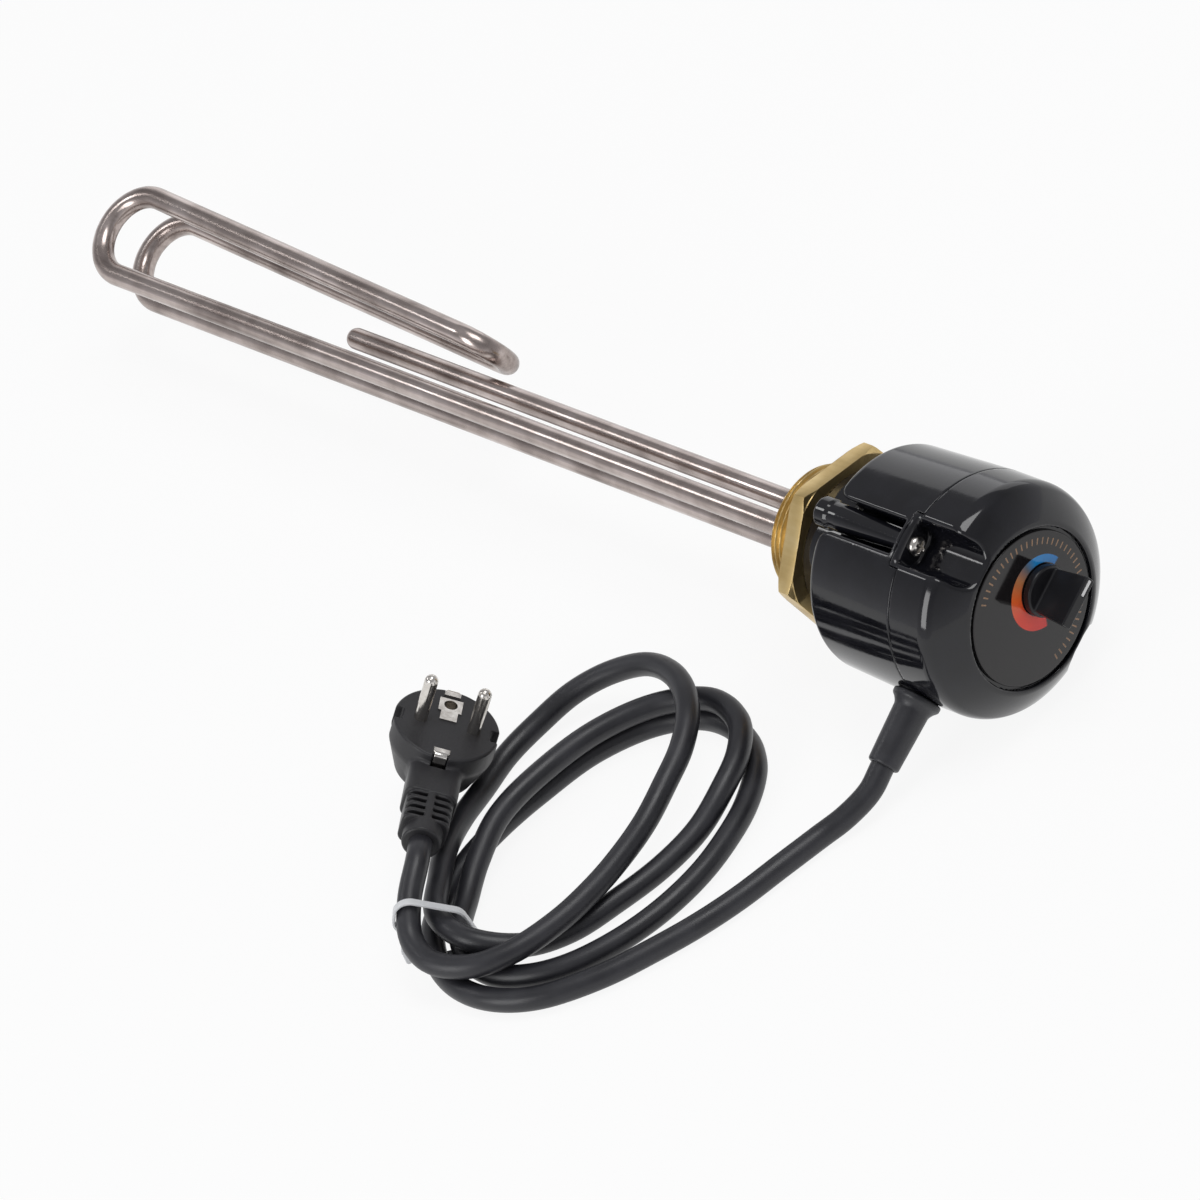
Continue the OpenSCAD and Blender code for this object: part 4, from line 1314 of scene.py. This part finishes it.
    def cover(self, x: Array, y: Array, z: Array) -> Array:
        """Front half, as a distance field.

        Side r < R and a swelling front, an arc through the shoulder and the front rim, meet in a crease. The
        dial's recess and the two wells are cut out with rounded lips, and the inside is hollow but for the
        wells' lining.

        Args:
            x: places along the axis.
            y: places up.
            z: places across.

        Returns:
            Distance outside the front half.
        """
        r = np.hypot(y, z)
        first, last = np.array(self.shoulder), np.array([self.front_rim_r, self.front_x])
        chord = last - first
        long = float(np.hypot(*chord))
        arc_r = long**2 / (8 * self.swell) + self.swell / 2
        middle = (first + last) / 2 - np.array([chord[1], -chord[0]]) / long * (arc_r - self.swell)
        front = np.hypot(r - middle[0], x - middle[1]) - arc_r
        body = round_max(r - self.shell_r, front, self.crease)
        body = round_max(body, x - self.front_x, self.front_edge)
        body = round_max(body, np.minimum(self.recess_r - r, x - self.dial_x), self.recess_edge)
        slot = self.well(y, z)
        fade = np.clip((self.lips_fade[0] - x) / self.lips_fade[1], 0.0, 1.0)
        lips = self.well_lips[0] + (self.well_lips[1] - self.well_lips[0]) * fade
        body = round_max(body, -round_max(slot, self.screw_seat - x, self.well_floor_r), lips)
        lined = slot - self.lining
        foot = np.maximum(self.well_seat - x, np.minimum(self.split_x - x, lined))
        body = round_max(body, foot, self.seam)
        cavity = common(np.maximum(r - self.shell_r, front) + self.wall, x - self.front_wall, -lined)
        shaft = np.hypot(y - self.knob_y, z) - self.shaft_hole_r
        return np.maximum(body, -joined(cavity, self.sleeve_hole(x, y, z), shaft))

    def sleeve(self) -> Surface:
        """Strain relief: a rounded profile carried round the cord's way out.

        Returns:
            The closed sleeve, with the dial upright.
        """
        profile = soften(self.sleeve_rows, self.sleeve_edge, steps=5, loop=True)
        grid = revolve(profile, (self.sleeve_x, 0, 0), (0, -1, 0), self.sleeve_sides)
        return Surface.from_grid(grid, loop_rows=True)

    def dial(self) -> Surface:
        """Round plate with a softened edge.

        Returns:
            The closed plate, with the dial upright.
        """
        low, high, hub = self.dial_x, self.dial_x + self.dial_t, self.dial_hub
        corners = [(low, hub), (low, self.dial_r), (high, self.dial_r), (high, hub)]
        grid = revolve(soften(corners, self.dial_edge, steps=6), (0, 0, 0), AXIS_X, self.dial_sides)
        return Surface.from_grid(grid)

    def half(self, field: Field, low_x: float, high_x: float) -> Surface:
        """Skin of one half of the head.

        Args:
            field: the half's distance field.
            low_x: where it starts along the axis.
            high_x: where it ends.

        Returns:
            The closed skin in the part's frame.
        """
        wide = self.shell_r + self.margin
        low, high = (low_x - self.margin, -wide, -wide), (high_x + self.margin, wide, wide)
        return skin(field, low, high, self.pitch).clocked()

    def make(self) -> None:
        """Builds the head's pieces."""
        screw = WellScrew(self.screw_seat)
        screws = (screw.surface(self.screw_z) + screw.surface(-self.screw_z)).clocked()
        fit(screws, "well_screws", NICKEL, ["cover_screws"], sharp=self.screw_sharp)
        fit(self.sleeve().clocked(), "sleeve", RUBBER, ["cord_sleeve"])
        fit(self.dial().clocked(), "dial", DialPrint(), ["dial_plate"])
        rear = self.half(self.rear, self.neck_x, self.split_x)
        fit(rear, "shell", SHELL, ["rear_shell"])
        front = self.half(self.cover, self.well_seat, self.front_x)
        fit(front, "cover", SHELL, ["front_cover"])


@dataclass
class Knob:
    """Knob with a flat grip and a white line in its top, drawn with the dial upright, as the head is."""

    pitch: float = 0.27
    margin: float = 0.6
    half: float = 10.0
    middle: float = KNOB_Y
    foot: float = 90.8
    radius: float = 9.2
    base: float = 3.0
    base_edge: float = 0.9
    top: float = 108.0
    grip: Pair = (8.1, 2.3)  # half-length and half-thickness
    grip_flare: float = 1.2
    grip_edges: Pair = (0.7, 0.6)  # along the sides and round the top
    grip_fillet: float = 0.7
    pointer: Pair = (5.6, 3.0)  # middle and half-length
    pointer_half: float = 0.72
    pointer_depth: float = 0.3
    pointer_play: float = 0.05
    inlay_corner: float = 0.3
    inlay_top: Pair = (-0.08, -0.02)  # top of the side and top face, from the grip's top
    inlay_inset: Place = (0.03, 0.03, 0.1)  # at the foot, at the top of the side and on the top face

    def field(self, x: Array, y: Array, z: Array) -> Array:
        """Knob, as a distance field: a round base and a flaring flat grip, less the pointer's groove.

        Args:
            x: places along the axis.
            y: places up.
            z: places across.

        Returns:
            Distance outside the knob.
        """
        up, off, root = y - self.middle, np.abs(z), self.foot + self.base
        base = round_max(np.hypot(up, z) - self.radius, x - root, self.base_edge)
        flare = self.grip_flare * np.clip((x - root) / (self.top - root), 0.0, 1.0)
        grip = round_max(np.abs(up) - self.grip[0] - flare, off - self.grip[1], self.grip_edges[0])
        grip = round_max(grip, x - self.top, self.grip_edges[1])
        body = np.maximum(round_min(base, grip, self.grip_fillet), self.foot - x)
        end = np.abs(up - self.pointer[0]) - self.pointer[1] - self.pointer_play
        return np.maximum(body, -common(off - self.pointer_half, end, self.top - self.pointer_depth - x))

    def pointer_inlay(self) -> Surface:
        """White line in the grip's top: a rounded outline carried up and drawn in at its top edge.

        Returns:
            The closed line, with the dial upright.
        """
        h, w = self.pointer[1], self.pointer_half
        outline = soften([(-h, -w), (h, -w), (h, w), (-h, w)], self.inlay_corner, loop=True)
        rise = np.array([-self.pointer_depth, *self.inlay_top])[:, None, None]
        inset = outline - np.sign(outline) * np.array(self.inlay_inset)[:, None, None]
        x = np.broadcast_to(self.top + rise, inset.shape[:2] + (1,))
        grid = np.concatenate([x, inset + np.array([self.middle + self.pointer[0], 0.0])], axis=-1)
        return Surface.from_grid(grid)

    def make(self) -> None:
        """Builds the knob and its line."""
        low = (self.foot - self.margin, self.middle - self.half, -self.half)
        high = (self.top + self.margin, self.middle + self.half, self.half)
        knob = skin(self.field, low, high, self.pitch)
        fit(knob.clocked(), "grip_knob", KNOB, ["control_knob"], Body.KNOB)
        fit(self.pointer_inlay().clocked(), "pointer_line", WHITE, body=Body.KNOB)


@dataclass
class MainsPlug:
    """Round rubber plug with a ribbed side neck, drawn with its pins along z and its neck along x."""

    pitch: float = 0.4
    margin: float = 1.0
    face_r: float = 18.75
    face_edge: float = 0.9
    length: float = 23.0
    cone_top: Pair = (18.15, -10.0)  # radius and place along the pins
    cone_low: Pair = (14.25, -20.0)  # the same, nearer the back
    cone_edge: float = 0.5
    back_edge: float = 2.6
    neck_depth: float = 11.0
    neck: Pair = (9.3, 7.2)  # half-width and half-height
    neck_rounds: Pair = (4.0, 1.0)  # along the neck and at its end
    neck_end: float = 33.0
    neck_fillet: float = 1.2
    tail: Pair = (8.3, 6.5)  # half-width and half-height
    tail_rounds: Pair = (3.6, 0.8)  # along the tail and at its end
    tail_end: float = 47.0
    collar_r: float = 6.85
    collar_edge: float = 0.9
    reach: float = 53.0
    rib_x: float = 34.4
    rib_step: float = 3.5
    rib_half: float = 0.85
    rib_last: int = 3
    rib_web: float = 1.4
    rib_depth: float = 2.5
    rib_edge: float = 0.35
    guide: Pair = (2.9, 3.3)  # half-width and depth
    guide_edge: float = 0.8
    seat: Pair = (2.7, 8.6)  # half-width and length
    seat_reach: Pair = (1.3, 0.8)  # inwards and outwards from the face's radius
    slot_edge: float = 0.3
    hole_x: float = -10.0
    hole: Pair = (3.4, 7.0)  # radius and depth
    clip_path: tuple[Pair, ...] = ((14.6, 0.4), (18.05, 0.4), (18.05, -8.3))
    clip_bend: float = 1.2
    clip_half: Pair = (2.9, 2.2)  # at the tab and along the leg
    clip_step: Pair = (2.6, 0.35)  # where the tab ends, and over what length it narrows before that
    clip_thick: float = 0.8
    clip_edge: float = 0.25
    clip_rows: int = 60
    at: Place = (-87.4, -124.0, -9.4)
    neck_way: Place = (0.626926, -0.774189, 0.087156)
    pin_way: Place = (0.38319789, 0.40382657, 0.83071264)

    def stem(self, x: Array, off: Array, deep: Array) -> Array:
        """Neck, as a distance field: a rounded square, a narrower tail with cross grooves and a round collar.

        Args:
            x: places along the neck.
            off: distances from its middle plane.
            deep: places along the pins, from the neck's axis.

        Returns:
            Distance outside the neck.
        """
        high = np.abs(deep)
        neck = round_max(off - self.neck[0], high - self.neck[1], self.neck_rounds[0])
        neck = round_max(neck, x - self.neck_end, self.neck_rounds[1])
        tail = round_max(off - self.tail[0], high - self.tail[1], self.tail_rounds[0])
        tail = round_max(tail, x - self.tail_end, self.tail_rounds[1])
        collar = round_max(np.hypot(off, deep) - self.collar_r, x - self.reach, self.collar_edge)
        nearest = np.clip(np.round((x - self.rib_x) / self.rib_step), 0, self.rib_last)
        groove = np.abs(x - self.rib_x - nearest * self.rib_step) - self.rib_half
        groove = common(groove, self.rib_web - off, self.neck[1] - self.rib_depth - high)
        return np.maximum(round_max(joined(neck, tail, collar), -groove, self.rib_edge), -x)

    def field(self, x: Array, y: Array, z: Array) -> Array:
        """Plug body, as a distance field.

        A short cylinder and a cone about z, rounded to both ends, and the neck along x; less the guide slots,
        the seats of the earth clips and the earth hole.

        Args:
            x: places along the neck.
            y: places across.
            z: places along the pins.

        Returns:
            Distance outside the plug.
        """
        r, off, out = np.hypot(x, y), np.abs(y), np.abs(x) - self.face_r
        run, fall = np.subtract(self.cone_low, self.cone_top)
        cone = (run * (z - self.cone_top[1]) - fall * (r - self.cone_top[0])) / math.hypot(run, fall)
        body = round_max(r - self.face_r, z, self.face_edge)
        body = round_max(body, cone, self.cone_edge)
        body = round_max(body, -self.length - z, self.back_edge)
        body = round_min(body, self.stem(x, off, z + self.neck_depth), self.neck_fillet)
        guide = round_max(np.abs(x) - self.guide[0], self.face_r - self.guide[1] - off, self.guide_edge)
        seat = common(off - self.seat[0], -self.seat[1] - z)
        seat = common(seat, -out - self.seat_reach[0], out - self.seat_reach[1])
        body = round_max(body, -np.minimum(guide, seat), self.slot_edge)
        hole = np.maximum(np.hypot(x - self.hole_x, y) - self.hole[0], -self.hole[1] - z)
        return np.maximum(body, -hole)

    def clip(self, side: float) -> Surface:
        """One earth clip: a rounded oblong carried along a strip that bends from the face to the side.

        The strip's half-width falls from its tab to its leg where the bend starts, and P = path + d*N + w*Y.

        Args:
            side: 1 for the clip over the neck, -1 for the one opposite.

        Returns:
            The closed strip, in the plug's own frame.
        """
        corner = soften(self.clip_path, self.clip_bend, steps=8)
        run = np.concatenate([[0.0], np.cumsum(np.linalg.norm(np.diff(corner, axis=0), axis=1))])
        s = np.linspace(0.0, run[-1], self.clip_rows)
        path = np.stack([np.interp(s, run, corner[:, 0]), np.interp(s, run, corner[:, 1])], axis=-1)
        way = unit(np.gradient(path, axis=0))
        wide, slim = self.clip_half
        half = slim + (wide - slim) * np.clip((self.clip_step[0] - s) / self.clip_step[1], 0.0, 1.0)
        t = self.clip_thick / 2
        loop = soften([(-1.0, -t), (1.0, -t), (1.0, t), (-1.0, t)], self.clip_edge, loop=True)
        across = loop[:, 0] + np.sign(loop[:, 0]) * (half[:, None] - 1.0)
        x = path[:, :1] - way[:, 1:] * loop[:, 1]
        z = path[:, 1:] + way[:, :1] * loop[:, 1]
        return Surface.from_grid(np.stack([side * x, side * across, z], axis=-1))

    def make(self) -> list[bpy.types.Object]:
        """Builds the plug in its place.

        Returns:
            The plug's body and its earth clips.
        """
        wide = self.face_r + self.margin
        high = (self.reach + self.margin, wide, self.margin)
        shape = skin(self.field, (-wide, -wide, -self.length - self.margin), high, self.pitch)
        axes = np.array([self.neck_way, np.cross(self.pin_way, self.neck_way), self.pin_way])
        clips = (self.clip(1.0) + self.clip(-1.0)).posed(axes, self.at)
        return [fit(shape.posed(axes, self.at), "plug", PLUG, ["plug_body"]),
                fit(clips, "earth_clips", NICKEL, ["plug_earth_clips"])]


@dataclass
class CableTie:
    """Nylon tie round the coil's strands, drawn with x across the bundle, y up and z along it."""

    strands: tuple[Pair, ...] = (
        (156.0, -36.4), (166.6, -36.3), (157.2, -27.6), (161.0, -27.2), (169.1, -19.3), (170.4, -22.2))
    lock_strand: int = 1
    cord_r: float = 4.25
    play: float = 0.5
    thick: float = 1.0
    width: float = 2.8
    edge: float = 0.3
    steps: int = 144
    along: float = -103.0
    turn: float = math.radians(226.0)
    lift: float = 0.2
    lock_mid: float = 2.9
    lock_half: Place = (2.3, 3.2, 2.2)  # across, up and along
    lock_edges: Pair = (0.7, 0.6)  # along the bundle and round both ends
    slot_half: Pair = (0.8, 1.3)  # across and along
    root_mid: float = 0.4
    root_half: Place = (1.0, 2.0, 1.0)  # across, up and along
    lattice: Place = (8.0, 4.3, 3.0)  # length outwards, half-height and half-length along
    pitch: float = 0.22

    def strap(self) -> Surface:
        """The strap: a rounded oblong carried round the strands' hull.

        In the direction t the hull's point is the strand that reaches furthest that way, plus
        (r + d) * (cos t, sin t), with d and the place along the bundle from the oblong.

        Returns:
            The closed strap, in the tie's own frame.
        """
        t = np.linspace(0.0, 2 * math.pi, self.steps + 1)[:-1]
        way = np.stack([np.cos(t), np.sin(t)], axis=-1)
        centres = np.array(self.strands)
        hub = centres[np.argmax(centres @ way.T, axis=0)]
        half = self.width / 2
        corners = [(0.0, -half), (self.thick, -half), (self.thick, half), (0.0, half)]
        oblong = soften(corners, self.edge, loop=True)
        reach = self.cord_r + self.play + oblong[:, 0]
        flat = hub[:, None] + reach[None, :, None] * way[:, None]
        run = np.broadcast_to((self.along + oblong[:, 1])[None, :, None], flat.shape[:2] + (1,))
        return Surface.from_grid(np.concatenate([flat, run], axis=-1), loop_rows=True)

    def lock(self, x: Array, y: Array, z: Array) -> Array:
        """The tie's head, as a distance field: a rounded block with a slot for the strap, and a short root.

        Args:
            x: places across the bundle.
            y: places up.
            z: places along the bundle.

        Returns:
            Distance outside the head.
        """
        side, level = self.strands[self.lock_strand]
        out = x - side - self.cord_r - self.play - self.thick
        up, off, mid = np.abs(y - level - self.lift), np.abs(z - self.along), np.abs(out - self.lock_mid)
        block = round_max(mid - self.lock_half[0], up - self.lock_half[1], self.lock_edges[0])
        block = round_max(block, off - self.lock_half[2], self.lock_edges[1])
        slot = np.maximum(mid - self.slot_half[0], off - self.slot_half[1])
        root = np.abs(out - self.root_mid) - self.root_half[0]
        root = common(root, up - self.root_half[1], off - self.root_half[2])
        return np.minimum(np.maximum(block, -slot), root)

    def make(self) -> bpy.types.Object:
        """Builds the tie in its place.

        Returns:
            The piece.
        """
        c, s = math.cos(self.turn), math.sin(self.turn)
        axes = np.array([[c, s, 0.0], AXIS_Z, [s, -c, 0.0]])
        side, level = self.strands[self.lock_strand]
        long, tall, deep = self.lattice
        low = (side + self.cord_r, level + self.lift - tall, self.along - deep)
        high = (side + self.cord_r + long, level + self.lift + tall, self.along + deep)
        lock = replace(skin(self.lock, low, high, self.pitch), normals=None)
        return fit((self.strap() + lock).posed(axes), "tie", NYLON, ["cable_tie"])


SOLIDS: dict[str, Finish] = {
    "terminal_studs": NICKEL, "insulating_beads": CERAMIC, "sensor_bulb": COPPER, "shell_screws": NICKEL,
    "earth_screw": BRASS, "regulator_shaft": NICKEL, "regulator_body": CERAMIC, "regulator_screws": NICKEL,
    "limiter": PLUG, "terminal_block": CERAMIC, "cord_tail": RUBBER, "cord_clamp": CERAMIC,
    "clamp_screws": NICKEL, "plug_pins": NICKEL, "plug_earth_socket": NICKEL}
ON_CORD = ("plug_pins", "plug_earth_socket")


def dress_solids() -> None:
    """Gives each solid that stays its finish."""
    for name, finish in SOLIDS.items():
        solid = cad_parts[name]
        if not solid.material_slots:
            solid.data.materials.append(finish.material())
        for place in solid.material_slots:
            place.material = finish.material()
        LOG.info("%s dressed", name)


# Studio


@dataclass(frozen=True)
class SoftBox:
    """A soft lamp that faces the part's origin. Its place and its size are in metres."""

    name: str
    place: Place
    size: Pair
    watts: float

    def hang(self) -> None:
        """Puts the lamp into the scene."""
        data = bpy.data.lights.new(self.name, "AREA")
        data.shape, data.size, data.size_y, data.energy = "RECTANGLE", *self.size, self.watts
        box = bpy.data.objects.new(self.name, data)
        box.location = self.place
        box.rotation_euler = (-Vector(self.place)).to_track_quat("-Z", "Y").to_euler()
        bpy.context.scene.collection.objects.link(box)


@dataclass
class Studio:
    """Camera, pale floor, white surroundings and soft lamps, in metres.

    The room's levels are brightnesses from straight down, at 0, to straight up, at 1.
    """

    eye: Place = (2.3020, -1.4128, 2.1143)
    look: Place = (-0.6863, 0.3920, -0.6126)
    up: Place = (-0.2661, 0.6486, 0.7131)
    lens: float = 300.0
    sensor: float = 36.0
    clip_end: float = 50.0
    floor_z: float = -0.042
    floor_half: float = 6.0
    floor_paint: Colour = (0.86, 0.86, 0.86)
    floor_glow: float = 0.9
    room_levels: tuple[Pair, ...] = ((0.0, 0.6), (0.5, 0.75), (0.6, 0.5), (0.78, 0.22), (1.0, 0.42))
    room_blue: float = 1.05
    room_gloss: float = 0.15
    boxes: tuple[SoftBox, ...] = (
        SoftBox("top_box", (0.45, 0.4, 1.9), (1.0, 1.0), 15.0),
        SoftBox("window_box", (-0.15, -2.0, 0.9), (0.8, 1.2), 15.0),
        SoftBox("back_wall", (-1.6, 1.9, 0.75), (2.4, 1.2), 6.0),
        SoftBox("edge_box", (-1.37, -0.68, 1.33), (0.34, 0.34), 2.4))

    def camera(self) -> None:
        """Sets the camera at the photograph's viewpoint."""
        data = bpy.data.cameras.new("view")
        data.lens, data.sensor_width, data.clip_end = self.lens, self.sensor, self.clip_end
        camera = bpy.data.objects.new("view", data)
        back = -Vector(self.look).normalized()
        right = Vector(self.up).cross(back).normalized()
        up = back.cross(right)
        camera.matrix_world = Matrix.Translation(self.eye) @ Matrix((right, up, back)).transposed().to_4x4()
        bpy.context.scene.collection.objects.link(camera)
        bpy.context.scene.camera = camera

    def floor(self) -> None:
        """A pale sheet under the object, white to the camera with the object's shadow left on it."""
        h, z = self.floor_half, self.floor_z
        mesh = bpy.data.meshes.new("floor")
        mesh.from_pydata([(-h, -h, z), (h, -h, z), (h, h, z), (-h, h, z)], [], [(0, 1, 2, 3)])
        book = MaterialBook("floor_white")
        book.set(Base_Color=self.floor_paint, Roughness=0.9, Specular_IOR_Level=0.1)
        glow = book.add("ShaderNodeEmission")
        glow.inputs["Strength"].default_value = 1.0
        share = book.times(book.seen(1.0), self.floor_glow)
        book.put(book.out, book.blend(share, book.shader.outputs[0], glow.outputs[0]))
        mesh.materials.append(book.made)
        sheet = bpy.data.objects.new("floor", mesh)
        bpy.context.scene.collection.objects.link(sheet)

    def surroundings(self) -> None:
        """White to the camera; for light and gloss a room that is brightest near the horizon."""
        world = bpy.data.worlds.new("studio")
        bpy.context.scene.world = world
        world.use_nodes = True
        book = NodeBook(world.node_tree)
        height = book.split(book.add("ShaderNodeTexCoord").outputs["Generated"])["Z"]
        stops = [(at, (level, level, level * self.room_blue)) for at, level in self.room_levels]
        room, white = book.add("ShaderNodeBackground"), book.add("ShaderNodeBackground")
        book.put(room.inputs["Color"], book.ramp(book.math("MULTIPLY_ADD", height, 0.5, 0.5), stops))
        seen = book.blend(book.seen(self.room_gloss), room.outputs[0], white.outputs[0])
        book.put(book.add("ShaderNodeOutputWorld").inputs["Surface"], seen)

    def lights(self) -> None:
        """Hangs the lamps and shows colours as they are."""
        for box in self.boxes:
            box.hang()
        bpy.context.scene.view_settings.view_transform = "Standard"


def main() -> None:
    """Builds the studio and the pieces in order."""
    logging.basicConfig(level=logging.INFO, format="%(message)s")
    studio = Studio()
    studio.camera()
    SupplyCord().make([*MainsPlug().make(), CableTie().make(), *(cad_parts[n] for n in ON_CORD)])
    HeatingRods().make()
    ScrewPlug().make()
    Head().make()
    Knob().make()
    dress_solids()
    studio.floor()
    studio.surroundings()
    studio.lights()


if __name__ == "__main__":
    main()
